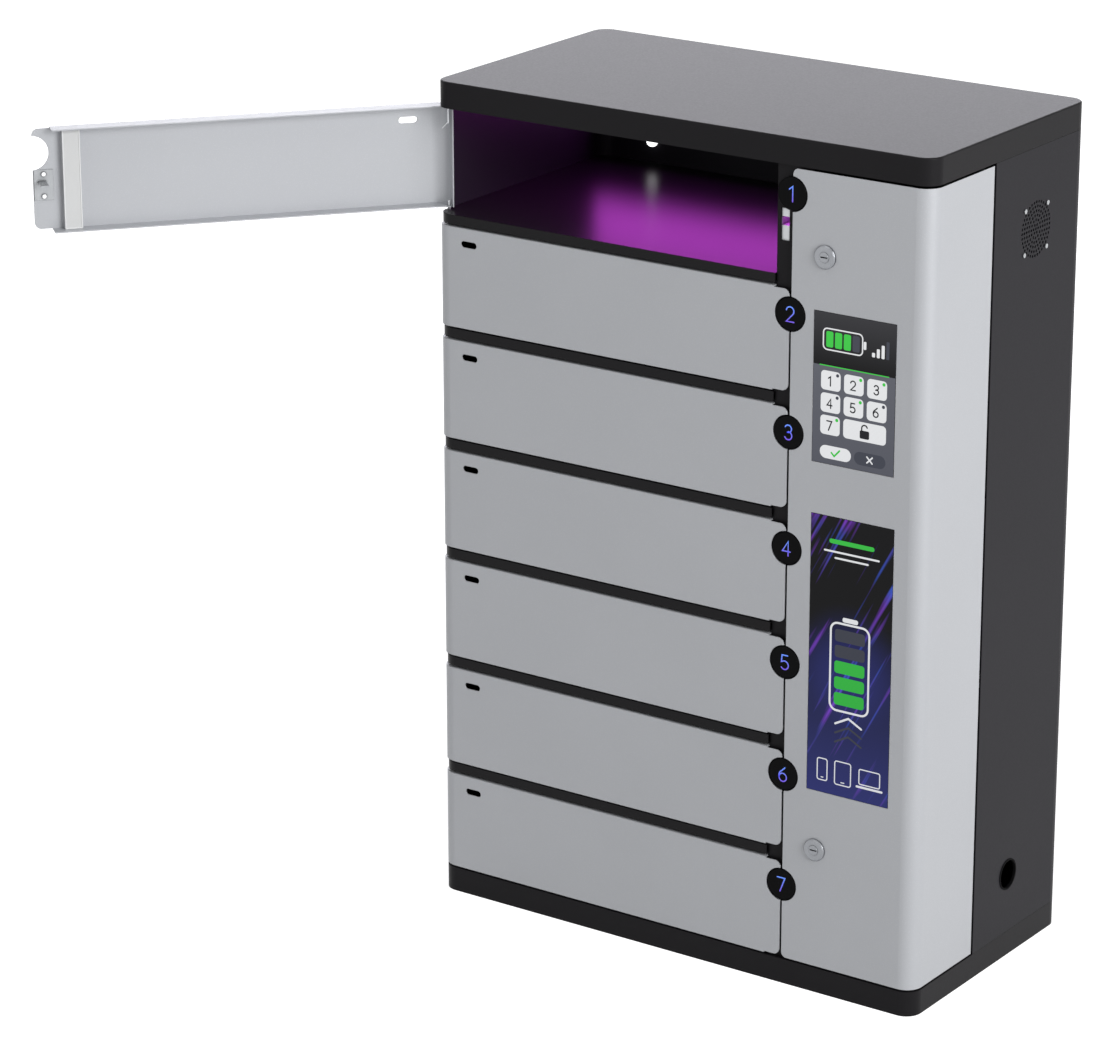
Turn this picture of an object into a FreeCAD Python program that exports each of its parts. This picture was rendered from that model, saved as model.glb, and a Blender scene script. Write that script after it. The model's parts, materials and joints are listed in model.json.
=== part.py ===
import FreeCAD, Part
import math
import os
import re
import Sketcher

# A charging locker: seven lockers with left-hinged doors beside a hinged control panel.
# X runs to the right, Y to the back and Z up. The origin is the middle of the base's underside.

DOOR_COUNT = 7
SPOKE_COUNT = 3
BLADE_COUNT = 7
GRILLE_RINGS = 7
BLADE_PITCH_ANGLE = 35
QUARTER_TURN_ANGLE = 90
TAIL_ANGLE = 135
LOWER_LOCK_SHARE = 0.665  # of the way up from the panel's foot to the display

SIZES = {
    # Cabinet
    "cabinet_width": 661, "cabinet_depth": 340, "cabinet_height": 1000,
    "corner_radius": 20, "sheet_thick": 1.5, "cover_height": 31, "base_height": 30,
    "cover_round": 2, "seat_clear": 0.2, "overrun": 5,
    "rear_leg": 30, "left_panel_setback": 30.9, "right_panel_setback": 135.5,
    "anchor_inset_x": 50.5, "anchor_inset_y": 50, "anchor_radius": 5,
    "wall_inset_x": 130.5, "wall_inset_z": 199.5, "wall_hole_radius": 4,
    # Dividers and mullion
    "bay_width": 198, "nose_height": 11.2, "nose_lip": 34,
    "mullion_width": 45.5, "mullion_setback": 5.5, "mullion_flange": 23, "keeper_depth": 9,
    "window_width": 11, "window_height": 37, "window_drop": 66.5, "window_inset": 4.5,
    # Doors
    "door_gap": 2.5, "seam_inset": 176.7, "seam_gap": 2.85, "door_return": 25,
    "flange_depth": 20, "tab_length": 20.4, "tab_inset": 1.5, "tab_radius": 8,
    "pivot_inset": 5.2, "pivot_setback": 21, "ear_radius": 3, "ear_width": 8,
    "pin_radius": 1.5, "pin_clear": 0.05, "pin_grip": 12, "pin_reach": 1, "foot_grip": 8.7,
    "sprung_grip": 20.7, "tail_radius": 1, "tail_length": 10,
    "slot_length": 22, "slot_height": 7.6, "slot_inset": 48.2, "slot_drop": 18.5,
    "stiffener_width": 21, "stiffener_depth": 9, "stiffener_offset": 43.2,
    "door_open_angle": 130,
    # Badges
    "badge_radius": 19, "notch_clear": 1.2, "badge_drop": 29.4, "badge_chamfer": 1,
    # Door locks
    "plate_width": 22, "plate_height": 35.4, "plate_thick": 1.5, "plate_edge": 0.8, "plate_drop": 66.7,
    "tongue_width": 9, "tongue_length": 23, "tongue_thick": 2, "tongue_drop": 62.8, "tongue_nose": 5,
    "stud_pitch": 25.8, "stud_radius": 1.6, "cap_radius": 2.8, "cap_height": 1.4,
    "bolt_radius": 1.75, "bolt_length": 14, "bolt_rest": 1, "bolt_hole_clear": 0.5,
    "case_width": 24, "case_depth": 30, "case_height": 60, "case_slot_side": 0.8, "case_slot_rise": 4,
    # Control panel
    "panel_side": 131.4, "panel_radius": 7, "panel_edge_strip": 30, "panel_flange": 20,
    "panel_pivot_inset": 8, "panel_pivot_setback": 118, "panel_pin_radius": 3,
    "touch_width": 104.8, "touch_height": 173, "touch_inset": 93.1, "touch_drop": 155,
    "display_width": 106.8, "display_height": 329.5, "display_inset": 91.4, "screen_gap": 60,
    "screen_clear": 0.3, "screen_rim": 6, "screen_depth": 18,
    "lock_inset": 132.65, "upper_lock_drop": 93.4,
    "head_radius": 13.5, "head_height": 3, "head_round": 1.2, "barrel_radius": 9.5, "barrel_length": 18,
    "plug_radius": 6, "plug_proud": 0.4, "keyway_length": 9, "keyway_width": 1.5, "keyway_depth": 4,
    "cam_reach": 33, "cam_width": 12, "cam_thick": 2,
    # Compartment fittings
    "dome_radius": 7, "dome_stand": 1.5, "dome_shift": 156, "dome_rise": 26.5,
    "bar_depth": 10, "bar_height": 8, "bar_length": 200, "bar_setback": 100,
    "port_width": 60, "port_height": 26, "port_depth": 8, "port_shift": 39, "port_rise": 30,
    "jack_width": 9, "jack_height": 3.5, "jack_depth": 5, "jack_pitch": 22,
    # Services
    "supply_width": 110, "supply_depth": 50, "supply_height": 215, "supply_inset": 95.5, "supply_rise": 262.5,
    "fan_setback": 228, "fan_drop": 94.2, "fan_size": 60, "fan_depth": 15, "fan_screw_pitch": 50,
    "fan_bore_radius": 28.5, "fan_hub_radius": 13, "fan_shaft_radius": 2, "fan_tip_gap": 1.5,
    "carrier_thick": 2, "spoke_width": 4, "rotor_gap": 1.5, "blade_chord": 11, "blade_thick": 1.2,
    "grille_pitch": 5.15, "grille_hole_radius": 1.7,
    "fan_screw_radius": 2, "fan_screw_clear": 0.1, "fan_screw_head": 2.7, "fan_screw_rise": 1,
    "grommet_setback": 213, "grommet_rise": 73.6, "grommet_lip_radius": 19, "grommet_lip": 0.8,
    "grommet_hole_radius": 18.2, "grommet_bore_radius": 17, "grommet_clear": 0.1,
}

doc = FreeCAD.newDocument("charging_locker")
dims = doc.addObject("Spreadsheet::Sheet", "dims")
for row, (alias, size) in enumerate(SIZES.items(), start=1):
    dims.set("A%d" % row, alias)
    dims.set("B%d" % row, str(size))
    dims.setAlias("B%d" % row, alias)
doc.recompute()

# Places worked out from the driving sizes
LEFT = "(-cabinet_width/2)"
RIGHT = "(cabinet_width/2)"
FRONT = "(-cabinet_depth/2)"
BACK = "(cabinet_depth/2)"
COVER_LEVEL = "(cabinet_height - cover_height)"
WALL_HEIGHT = "(cabinet_height - cover_height - base_height)"
DOOR_HEIGHT = "((%s - %d*nose_height - %d*door_gap)/%d)" % (
    WALL_HEIGHT, DOOR_COUNT - 1, 2 * DOOR_COUNT, DOOR_COUNT)
DOOR_STEP = "(%s + 2*door_gap + nose_height)" % DOOR_HEIGHT
SEAM_X = "(cabinet_width/2 - seam_inset)"
PARTITION_X = "(cabinet_width/2 - bay_width)"
COMPARTMENT_X = "(-bay_width/2)"
PORT_X = "(%s + port_shift)" % COMPARTMENT_X
BEND_INSIDE = "(corner_radius - sheet_thick)"
DOOR_WIDTH = "(cabinet_width - seam_inset - seam_gap/2)"
FLANGE_END = "(%s - tab_length)" % DOOR_WIDTH
PIVOT_X = "(%s + pivot_inset)" % LEFT
PIVOT_Y = "(%s + pivot_setback)" % FRONT
PANEL_PIVOT_X = "(%s - panel_pivot_inset)" % RIGHT
PANEL_PIVOT_Y = "(%s + panel_pivot_setback)" % FRONT
PANEL_LEFT = "(%s + seam_gap/2)" % SEAM_X
PANEL_LOW = "(base_height + door_gap)"
PANEL_HEIGHT = "(%s - 2*door_gap)" % WALL_HEIGHT
PANEL_TOP = "(%s - door_gap)" % COVER_LEVEL
TOUCH_X = "(cabinet_width/2 - touch_inset)"
TOUCH_Z = "(%s - touch_drop - touch_height/2)" % PANEL_TOP
DISPLAY_X = "(cabinet_width/2 - display_inset)"
DISPLAY_Z = "(%s - touch_drop - touch_height - screen_gap - display_height/2)" % PANEL_TOP
LOCK_X = "(cabinet_width/2 - lock_inset)"
UPPER_LOCK_Z = "(%s - upper_lock_drop)" % PANEL_TOP
LOWER_LOCK_Z = "(%s + %g*(%s - display_height/2 - %s))" % (PANEL_LOW, LOWER_LOCK_SHARE, DISPLAY_Z, PANEL_LOW)
PANEL_LOCKS = (("upper", UPPER_LOCK_Z), ("lower", LOWER_LOCK_Z))
MULLION_FACE = "(%s + mullion_setback)" % FRONT
WINDOW_X = "(%s + window_inset + window_width/2)" % PARTITION_X
BOLT_Y = "(%s + sheet_thick + plate_thick + tongue_length - tongue_nose)" % FRONT
NOTCH_RADIUS = "(badge_radius + notch_clear)"
FAN_Y = "(%s + fan_setback)" % FRONT
FAN_Z = "(%s - fan_drop)" % COVER_LEVEL
GROMMET_Y = "(%s + grommet_setback)" % FRONT
GROMMET_Z = "(base_height + grommet_rise)"
ANCHOR_SPACING = ("(cabinet_width - 2*anchor_inset_x)", "(cabinet_depth - 2*anchor_inset_y)")
WALL_SPACING = ("(cabinet_width - 2*wall_inset_x)", "(%s - 2*wall_inset_z)" % WALL_HEIGHT)
SHEET_INSIDE = "(sheet_thick + seat_clear)"


def door_low(number):
    """Height of a door's lower edge; door 1 is the top one."""
    return "(base_height + door_gap + %d*%s)" % (DOOR_COUNT - number, DOOR_STEP)


def door_top(number):
    return "(%s + %s)" % (door_low(number), DOOR_HEIGHT)


ALIAS_WORDS = re.compile(r"\b(%s)\b" % "|".join(sorted(SIZES, key=len, reverse=True)))


def tie(item, prop, text):
    """Bind a property to an expression in the sheet's sizes."""
    item.setExpression(prop, ALIAS_WORDS.sub(r"dims.\1", text))


def value(text):
    """The expression's present number, for an outline's first points."""
    return float(dims.evalExpression(text))


def place(item, at, axis=(0, 0, 1), angle=0, angle_text=None):
    item.Placement = FreeCAD.Placement(
        FreeCAD.Vector(0, 0, 0), FreeCAD.Rotation(FreeCAD.Vector(*axis), angle))
    for letter, text in zip("xyz", at):
        tie(item, "Placement.Base." + letter, text)
    if angle_text:
        tie(item, "Placement.Rotation.Angle", angle_text)
    return item


def block(name, size, at):
    """A box from its low corner."""
    item = doc.addObject("Part::Box", name)
    for prop, text in zip(("Length", "Width", "Height"), size):
        tie(item, prop, text)
    return place(item, at)


TURN_TO = {"X": ((0, 1, 0), QUARTER_TURN_ANGLE), "Y": ((1, 0, 0), -QUARTER_TURN_ANGLE), "Z": ((0, 0, 1), 0),
           "down": ((0, 1, 0), TAIL_ANGLE)}


def rod(name, radius, length, at, along="Z"):
    """A cylinder that starts at a point and runs along +X, +Y or +Z, or down towards +X."""
    item = doc.addObject("Part::Cylinder", name)
    tie(item, "Radius", radius)
    tie(item, "Height", length)
    axis, angle = TURN_TO[along]
    return place(item, at, axis, angle)


def group(name, pieces):
    item = doc.addObject("Part::Compound", name)
    item.Links = pieces
    return item


def fuse(name, pieces):
    item = doc.addObject("Part::MultiFuse", name)
    item.Shapes = pieces
    item.Refine = True
    return item


def cut(name, base, tools):
    item = doc.addObject("Part::Cut", name)
    item.Base = base
    item.Tool = tools[0] if len(tools) == 1 else fuse(name + "_tools", tools)
    return item


def common(name, base, tool):
    item = doc.addObject("Part::Common", name)
    item.Base = base
    item.Tool = tool
    return item


def plan_sketch(body, name):
    sketch = body.newObject("Sketcher::SketchObject", name)
    plane = [part for part in body.Origin.OriginFeatures if part.Role == "XY_Plane"][0]
    sketch.AttachmentSupport = (plane, [""])
    sketch.MapMode = "FlatFace"
    return sketch


def raise_sketch(body, name, sketch, height):
    pad = body.newObject("PartDesign::Pad", name)
    pad.Profile = sketch
    tie(pad, "Length", height)
    body.Tip = pad


def line(points, start, end):
    return Part.LineSegment(FreeCAD.Vector(*points[start], 0), FreeCAD.Vector(*points[end], 0))


def quarter_arc(centre, radius, first_quarter):
    circle = Part.Circle(FreeCAD.Vector(*centre, 0), FreeCAD.Vector(0, 0, 1), radius)
    return Part.ArcOfCircle(circle, first_quarter * math.pi / 2, (first_quarter + 1) * math.pi / 2)


START_INDEX = 1
END_INDEX = 2
CENTRE_INDEX = 3


def bind_constraint(sketch, kind, where, title, text):
    index = sketch.addConstraint(Sketcher.Constraint(kind, *where, value(text)))
    sketch.renameConstraint(index, title)
    tie(sketch, "Constraints." + title, text)


def corner_sheet(name, leg_x, leg_y, height):
    """Bent sheet, in plan: a leg along +X and a leg along +Y that meet in a rounded corner."""
    body = doc.addObject("PartDesign::Body", name)
    sketch = plan_sketch(body, name + "_plan")
    a, b, r, t = (value(text) for text in (leg_x, leg_y, "corner_radius", "sheet_thick"))
    points = [(r, 0), (a, 0), (a, t), (r, t), (t, r), (t, b), (0, b), (0, r)]
    sketch.addGeometry([
        line(points, 0, 1), line(points, 1, 2), line(points, 2, 3),
        quarter_arc((r, r), r - t, 2),
        line(points, 4, 5), line(points, 5, 6), line(points, 6, 7),
        quarter_arc((r, r), r, 2)], False)
    for first, second in (((0, END_INDEX), (1, START_INDEX)), ((1, END_INDEX), (2, START_INDEX)),
                          ((4, END_INDEX), (5, START_INDEX)), ((5, END_INDEX), (6, START_INDEX)),
                          ((3, CENTRE_INDEX), (7, CENTRE_INDEX))):
        sketch.addConstraint(Sketcher.Constraint("Coincident", *first, *second))
    for first, second in (((2, END_INDEX), (3, END_INDEX)), ((3, START_INDEX), (4, START_INDEX)),
                          ((6, END_INDEX), (7, START_INDEX)), ((7, END_INDEX), (0, START_INDEX))):
        sketch.addConstraint(Sketcher.Constraint("Tangent", *first, *second))
    for edge in (0, 2, 5):
        sketch.addConstraint(Sketcher.Constraint("Horizontal", edge))
    for edge in (1, 4, 6):
        sketch.addConstraint(Sketcher.Constraint("Vertical", edge))
    sketch.addConstraint(Sketcher.Constraint("PointOnObject", 0, START_INDEX, -1))
    sketch.addConstraint(Sketcher.Constraint("PointOnObject", 6, END_INDEX, -2))
    bind_constraint(sketch, "DistanceX", (-1, START_INDEX, 0, END_INDEX), "leg_x", leg_x)
    bind_constraint(sketch, "DistanceY", (-1, START_INDEX, 6, START_INDEX), "leg_y", leg_y)
    bind_constraint(sketch, "Radius", (7,), "bend", "corner_radius")
    bind_constraint(sketch, "DistanceY", (1, START_INDEX, 1, END_INDEX), "wall", "sheet_thick")
    raise_sketch(body, name + "_rise", sketch, height)
    return body


def rounded_block(name, size_x, size_y, radius, height):
    """Rounded rectangle about the origin, raised along +Z."""
    body = doc.addObject("PartDesign::Body", name)
    sketch = plan_sketch(body, name + "_plan")
    a, b, r = value(size_x) / 2, value(size_y) / 2, value(radius)
    points = [(r - a, -b), (a - r, -b), (a, r - b), (a, b - r),
              (a - r, b), (r - a, b), (-a, b - r), (-a, r - b)]
    sketch.addGeometry([
        line(points, 0, 1), quarter_arc((a - r, r - b), r, 3),
        line(points, 2, 3), quarter_arc((a - r, b - r), r, 0),
        line(points, 4, 5), quarter_arc((r - a, b - r), r, 1),
        line(points, 6, 7), quarter_arc((r - a, r - b), r, 2)], False)
    for edge in range(8):
        sketch.addConstraint(Sketcher.Constraint("Tangent", edge, END_INDEX, (edge + 1) % 8, START_INDEX))
    for edge in (0, 4):
        sketch.addConstraint(Sketcher.Constraint("Horizontal", edge))
    for edge in (2, 6):
        sketch.addConstraint(Sketcher.Constraint("Vertical", edge))
    for arc in (3, 5, 7):
        sketch.addConstraint(Sketcher.Constraint("Equal", 1, arc))
    sketch.addConstraint(Sketcher.Constraint("Symmetric", 1, CENTRE_INDEX, 5, CENTRE_INDEX, -1, START_INDEX))
    bind_constraint(sketch, "Radius", (1,), "bend", radius)
    bind_constraint(sketch, "DistanceX", (6, START_INDEX, 2, START_INDEX), "span_x", size_x)
    bind_constraint(sketch, "DistanceY", (0, START_INDEX, 4, END_INDEX), "span_y", size_y)
    raise_sketch(body, name + "_rise", sketch, height)
    return body


def cabinet_block(name, inset, height):
    """The cabinet's plan, drawn in by an inset all round."""
    return rounded_block(name, "cabinet_width - 2*%s" % inset, "cabinet_depth - 2*%s" % inset,
                         "corner_radius - %s" % inset, height)


def soften(body, radius, level):
    """Round the edges that lie at one height of a raised block."""
    doc.recompute()
    base = body.Tip
    names = ["Edge%d" % (index + 1) for index, edge in enumerate(base.Shape.Edges)
             if all(abs(vertex.Z - value(level)) < Part.Precision.confusion() for vertex in edge.Vertexes)]
    fillet = body.newObject("PartDesign::Fillet", body.Name + "_soft_edge")
    fillet.Base = (base, names)
    tie(fillet, "Radius", radius)
    body.Tip = fillet
    return body


nodes = []


def node(name, item):
    """Keep an object as a sub-part under its own name."""
    item.Label = name
    nodes.append(item)
    return item


def copy_of(name, source, at, angle_text=None):
    """A further sub-part with the same shape, at its own place."""
    return node(name, place(group(name, [source]), at, angle_text=angle_text))


# Base, cover and walls

def pin_hole(name, radius, x, y, low):
    """Running hole for a hinge pin through one sheet."""
    return rod(name, "%s + pin_clear" % radius, "sheet_thick + 2*overrun", (x, y, "%s - overrun" % low))


def corner_holes(name, radius, spacing_a, spacing_b, at, along):
    """Four holes on a rectangle, in the plane across the given axis."""
    holes = []
    for a in ("-", "+"):
        for b in ("-", "+"):
            first, second = "(%s%s/2)" % (a, spacing_a), "(%s%s/2)" % (b, spacing_b)
            shift = {"Z": (first, second, "0"), "Y": (first, "0", second), "X": ("0", first, second)}[along]
            spot = ["%s + %s" % pair for pair in zip(at, shift)]
            holes.append(rod("%s_%d" % (name, len(holes)), radius, "sheet_thick + 2*overrun", spot, along))
    return holes


plinth_shell = cabinet_block("plinth_outside", "0", "base_height")
plinth_hollow = cabinet_block("plinth_hollow", "sheet_thick", "base_height - sheet_thick + overrun")
place(plinth_hollow, ("0", "0", "-overrun"))
deck_low = "(base_height - sheet_thick)"
node("base_plinth", cut("base_plinth", plinth_shell, [
    plinth_hollow,
    pin_hole("plinth_door_hole", "pin_radius", PIVOT_X, PIVOT_Y, deck_low),
    pin_hole("plinth_panel_hole", "panel_pin_radius", PANEL_PIVOT_X, PANEL_PIVOT_Y, deck_low)]))

node("base_plate", cut("base_plate", cabinet_block("base_sheet", SHEET_INSIDE, "sheet_thick"), corner_holes(
    "anchor", "anchor_radius", *ANCHOR_SPACING, ("0", "0", "-overrun"), "Z")))

cover_shell = soften(cabinet_block("cover_outside", "0", "cover_height"), "cover_round", "cover_height")
place(cover_shell, ("0", "0", COVER_LEVEL))
cover_hollow = cabinet_block("cover_hollow", "sheet_thick", "cover_height - sheet_thick + overrun")
place(cover_hollow, ("0", "0", "%s - overrun" % COVER_LEVEL))
node("top_cover", cut("top_cover", cover_shell, [cover_hollow]))

ceiling_sheet = place(cabinet_block("ceiling_sheet", SHEET_INSIDE, "sheet_thick"), ("0", "0", COVER_LEVEL))
node("ceiling_panel", cut("ceiling_panel", ceiling_sheet, [
    pin_hole("ceiling_door_hole", "pin_radius", PIVOT_X, PIVOT_Y, COVER_LEVEL),
    pin_hole("ceiling_panel_hole", "panel_pin_radius", PANEL_PIVOT_X, PANEL_PIVOT_Y, COVER_LEVEL)]))



def in_strips(name, wall, low, split_x):
    """A wall's flat sheet and three strips of its rear corner, each of a third of the bend."""
    bend_y = "(%s - corner_radius)" % BACK
    split_y = "(%s + %s/2)" % (bend_y, BEND_INSIDE)
    outside = ("(%s - overrun)" % low, "(%s + rear_leg + overrun)" % low)
    rear = (split_y, "(%s + overrun)" % BACK)
    zones = {"sheet": (outside, (FRONT, bend_y)), "bend_side": (outside, (bend_y, split_y)),
             "bend_left": ((outside[0], split_x), rear), "bend_right": ((split_x, outside[1]), rear)}
    strips = []
    for zone, (across, along) in zones.items():
        size = ("%s - %s" % across[::-1], "%s - %s" % along[::-1], "%s + 2*overrun" % WALL_HEIGHT)
        space = block("%s_%s_zone" % (name, zone), size, (across[0], along[0], "base_height - overrun"))
        strips.append(common("%s_%s" % (name, zone), wall, space))
    return group(name, strips)


left_wall = corner_sheet("left_wall", "cabinet_depth - left_panel_setback", "rear_leg", WALL_HEIGHT)
place(left_wall, (LEFT, BACK, "base_height"), angle=-90)
node("left_side_panel", in_strips("left_side_panel", left_wall, LEFT, "(%s + corner_radius - %s/2)" % (
    LEFT, BEND_INSIDE)))

right_wall = corner_sheet("right_wall", "rear_leg", "cabinet_depth - right_panel_setback", WALL_HEIGHT)
place(right_wall, (RIGHT, BACK, "base_height"), angle=180)
wall_inside = "%s - sheet_thick - overrun" % RIGHT


def side_hole(name, radius, y, z):
    return rod(name, radius, "sheet_thick + 2*overrun", (wall_inside, y, z), "X")


grille = [side_hole("grille_0", "grille_hole_radius", FAN_Y, FAN_Z)]
for ring in range(1, GRILLE_RINGS):
    for spot in range(6 * ring):
        turn = math.radians(60 * spot / ring)
        grille.append(side_hole("grille_%d_%d" % (ring, spot), "grille_hole_radius",
                                "%s + %.6f*grille_pitch" % (FAN_Y, ring * math.cos(turn)),
                                "%s + %.6f*grille_pitch" % (FAN_Z, ring * math.sin(turn))))
fan_holes = corner_holes("fan_hole", "fan_screw_radius + fan_screw_clear", "fan_screw_pitch",
                         "fan_screw_pitch", (wall_inside, FAN_Y, FAN_Z), "X")
cable_hole = side_hole("cable_hole", "grommet_hole_radius", GROMMET_Y, GROMMET_Z)
open_wall = cut("open_wall", right_wall, [group("wall_openings", grille + fan_holes + [cable_hole])])
node("right_side_panel", in_strips("right_side_panel", open_wall, "(%s - rear_leg)" % RIGHT,
                                   "(%s - corner_radius + %s/2)" % (RIGHT, BEND_INSIDE)))

back_sheet = block("back_sheet", ("cabinet_width - 2*rear_leg", "sheet_thick", WALL_HEIGHT),
                   ("%s + rear_leg" % LEFT, "%s - sheet_thick" % BACK, "base_height"))
node("back_panel", cut("back_panel", back_sheet, corner_holes(
    "wall_hole", "wall_hole_radius", *WALL_SPACING,
    ("0", "%s - sheet_thick - overrun" % BACK, "base_height + %s/2" % WALL_HEIGHT), "Y")))

node("partition_wall", block("partition_wall", (
    "sheet_thick", "cabinet_depth - mullion_setback - 2*sheet_thick", WALL_HEIGHT),
    (PARTITION_X, "%s + sheet_thick" % MULLION_FACE, "base_height")))

# The mullion carries the door locks; its right edge turns back as the keeper of the panel's cams
face = block("mullion_face", ("mullion_width", "sheet_thick", WALL_HEIGHT),
             (PARTITION_X, MULLION_FACE, "base_height"))
flange = block("mullion_flange", ("sheet_thick", "mullion_flange", WALL_HEIGHT),
               ("%s + sheet_thick" % PARTITION_X, "%s + sheet_thick" % MULLION_FACE, "base_height"))
keeper = block("mullion_keeper", ("sheet_thick", "keeper_depth + sheet_thick", WALL_HEIGHT),
               ("%s + mullion_width - sheet_thick" % PARTITION_X, MULLION_FACE, "base_height"))
windows = [block("lock_window_%d" % number, ("window_width", "sheet_thick + 2*overrun", "window_height"),
                 ("%s + window_inset" % PARTITION_X, "%s - overrun" % MULLION_FACE,
                  "%s - window_drop - window_height/2" % door_top(number)))
           for number in range(1, DOOR_COUNT + 1)]
node("mullion", cut("mullion", fuse("mullion_sheet", [face, flange, keeper]),
                    [group("lock_windows", windows)]))

# A shelf is a sheet whose front is folded into the nose seen between two doors
shelf_plan = common("shelf_plan", cabinet_block("shelf_outside", SHEET_INSIDE, "nose_height"), block(
    "shelf_span", ("%s - %s" % (PARTITION_X, LEFT), "cabinet_depth", "nose_height"), (LEFT, FRONT, "0")))
under_shelf = block("under_shelf", ("cabinet_width", "cabinet_depth", "nose_height - sheet_thick + overrun"),
                    (LEFT, "%s + nose_lip" % FRONT, "-overrun"))
nose_inside = cabinet_block("nose_inside", "(2*sheet_thick + seat_clear)", "nose_height - 2*sheet_thick")
place(nose_inside, ("0", "0", "sheet_thick"))
pin_passage = rod("pin_passage", "pin_radius + pin_clear", "nose_height + 2*overrun",
                  (PIVOT_X, PIVOT_Y, "-overrun"))
shelf = cut("shelf", shelf_plan, [under_shelf, nose_inside, pin_passage])
for number in range(1, DOOR_COUNT):
    copy_of("shelf_%d" % number, shelf, ("0", "0", "%s - door_gap - nose_height" % door_low(number)))

# Fittings of each compartment

badges = []
cases = []
bars = []
domes = []
ports = []
for number in range(1, DOOR_COUNT + 1):
    mark = "_%d" % number
    top = door_top(number)
    roof = "(%s + door_gap)" % top
    floor = "(%s - door_gap)" % door_low(number)
    badge_at = (SEAM_X, FRONT, "%s - badge_drop" % top)
    disc = rod("badge_disc" + mark, "badge_radius", "mullion_setback - badge_chamfer",
               (badge_at[0], "%s + badge_chamfer" % FRONT, badge_at[2]), "Y")
    bevel = doc.addObject("Part::Cone", "badge_bevel" + mark)
    tie(bevel, "Radius1", "badge_radius - badge_chamfer")
    tie(bevel, "Radius2", "badge_radius")
    tie(bevel, "Height", "badge_chamfer")
    place(bevel, badge_at, *TURN_TO["Y"])
    badges.append(fuse("badge" + mark, [disc, bevel]))
    tongue_level = "(%s - tongue_drop)" % top
    case_low = "(%s - case_height/2)" % tongue_level
    case = block("lock_box" + mark, ("case_width", "case_depth", "case_height"),
                 ("%s + 2*sheet_thick" % PARTITION_X, "%s + sheet_thick" % MULLION_FACE, case_low))
    throat = block("lock_throat" + mark, (
        "tongue_width + 2*case_slot_side", "tongue_length + overrun", "tongue_thick + 2*case_slot_rise"),
        ("%s - tongue_width/2 - case_slot_side" % WINDOW_X, "%s + sheet_thick - overrun" % MULLION_FACE,
         "%s - tongue_thick/2 - case_slot_rise" % tongue_level))
    guide = rod("lock_guide" + mark, "bolt_radius + pin_clear", "bolt_length + 2*bolt_rest",
                (WINDOW_X, BOLT_Y, "%s - tongue_thick/2 - 2*bolt_rest - bolt_length" % tongue_level))
    cases.append(cut("lock_case" + mark, case, [throat, guide]))
    bars.append(block("light_bar" + mark, ("bar_depth", "bar_length", "bar_height"), (
        "%s - bar_depth" % PARTITION_X, "%s + bar_setback" % FRONT, "%s - bar_height" % roof)))
    dome_at = ("%s - dome_shift" % COMPARTMENT_X, "%s - sheet_thick - dome_stand" % BACK,
               "%s + dome_rise" % floor)
    dome = doc.addObject("Part::Sphere", "dome" + mark)
    tie(dome, "Radius", "dome_radius")
    dome.Angle2 = 0
    neck = rod("lamp_neck" + mark, "dome_radius", "dome_stand", dome_at, "Y")
    domes.append(fuse("lamp" + mark, [place(dome, dome_at, *TURN_TO["Y"]), neck]))
    port_at = ("%s - port_width/2" % PORT_X, "%s - sheet_thick - port_depth" % BACK, "%s + port_rise" % floor)
    plate = block("port_plate" + mark, ("port_width", "port_depth", "port_height"), port_at)
    jacks = [block("port_jack%s%s" % (side, mark), ("jack_width", "jack_depth + overrun", "jack_height"),
                   ("%s %s jack_pitch/2 - jack_width/2" % (PORT_X, side), "%s - overrun" % port_at[1],
                    "%s + port_height/2 - jack_height/2" % port_at[2])) for side in "-+"]
    ports.append(cut("charging_port" + mark, plate, jacks))

node("number_badges", group("number_badges", badges))
node("lock_cases", group("lock_cases", cases))
node("light_bars", group("light_bars", bars))
node("dome_lamps", group("dome_lamps", domes))
node("charging_ports", group("charging_ports", ports))

# Power, air and cable entry

node("power_supply", block("power_supply", ("supply_width", "supply_depth", "supply_height"), (
    "%s - supply_inset - supply_width/2" % RIGHT, "%s - sheet_thick - supply_depth" % BACK,
    "base_height + supply_rise")))

frame_x = "(%s - sheet_thick - fan_depth)" % RIGHT
fan_box = block("fan_box", ("fan_depth", "fan_size", "fan_size"),
                (frame_x, "%s - fan_size/2" % FAN_Y, "%s - fan_size/2" % FAN_Z))
fan_bore = rod("fan_bore", "fan_bore_radius", "fan_depth + 2*overrun",
               ("%s - overrun" % frame_x, FAN_Y, FAN_Z), "X")
frame_holes = corner_holes("frame_hole", "fan_screw_radius + fan_screw_clear", "fan_screw_pitch",
                           "fan_screw_pitch", (frame_x, FAN_Y, FAN_Z), "X")
for hole in frame_holes:
    tie(hole, "Height", "fan_depth + overrun")
fan_ring = cut("fan_ring", fan_box, [fan_bore] + frame_holes)
carrier = [rod("fan_carrier", "fan_hub_radius", "carrier_thick", (frame_x, FAN_Y, FAN_Z), "X")]
for spoke in range(SPOKE_COUNT):
    arm = block("fan_spoke_%d" % spoke, ("carrier_thick", "spoke_width", "fan_bore_radius + sheet_thick"),
                ("0", "-spoke_width/2", "0"))
    turned = group("fan_spoke_turned_%d" % spoke, [arm])
    carrier.append(place(turned, (frame_x, FAN_Y, FAN_Z), (1, 0, 0), 360 * spoke / SPOKE_COUNT))
shaft_hole = rod("fan_shaft_hole", "fan_shaft_radius + pin_clear", "carrier_thick + 2*overrun",
                 ("%s - overrun" % frame_x, FAN_Y, FAN_Z), "X")
node("fan_frame", cut("fan_frame", fuse("fan_casting", [fan_ring] + carrier), [shaft_hole]))

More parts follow.
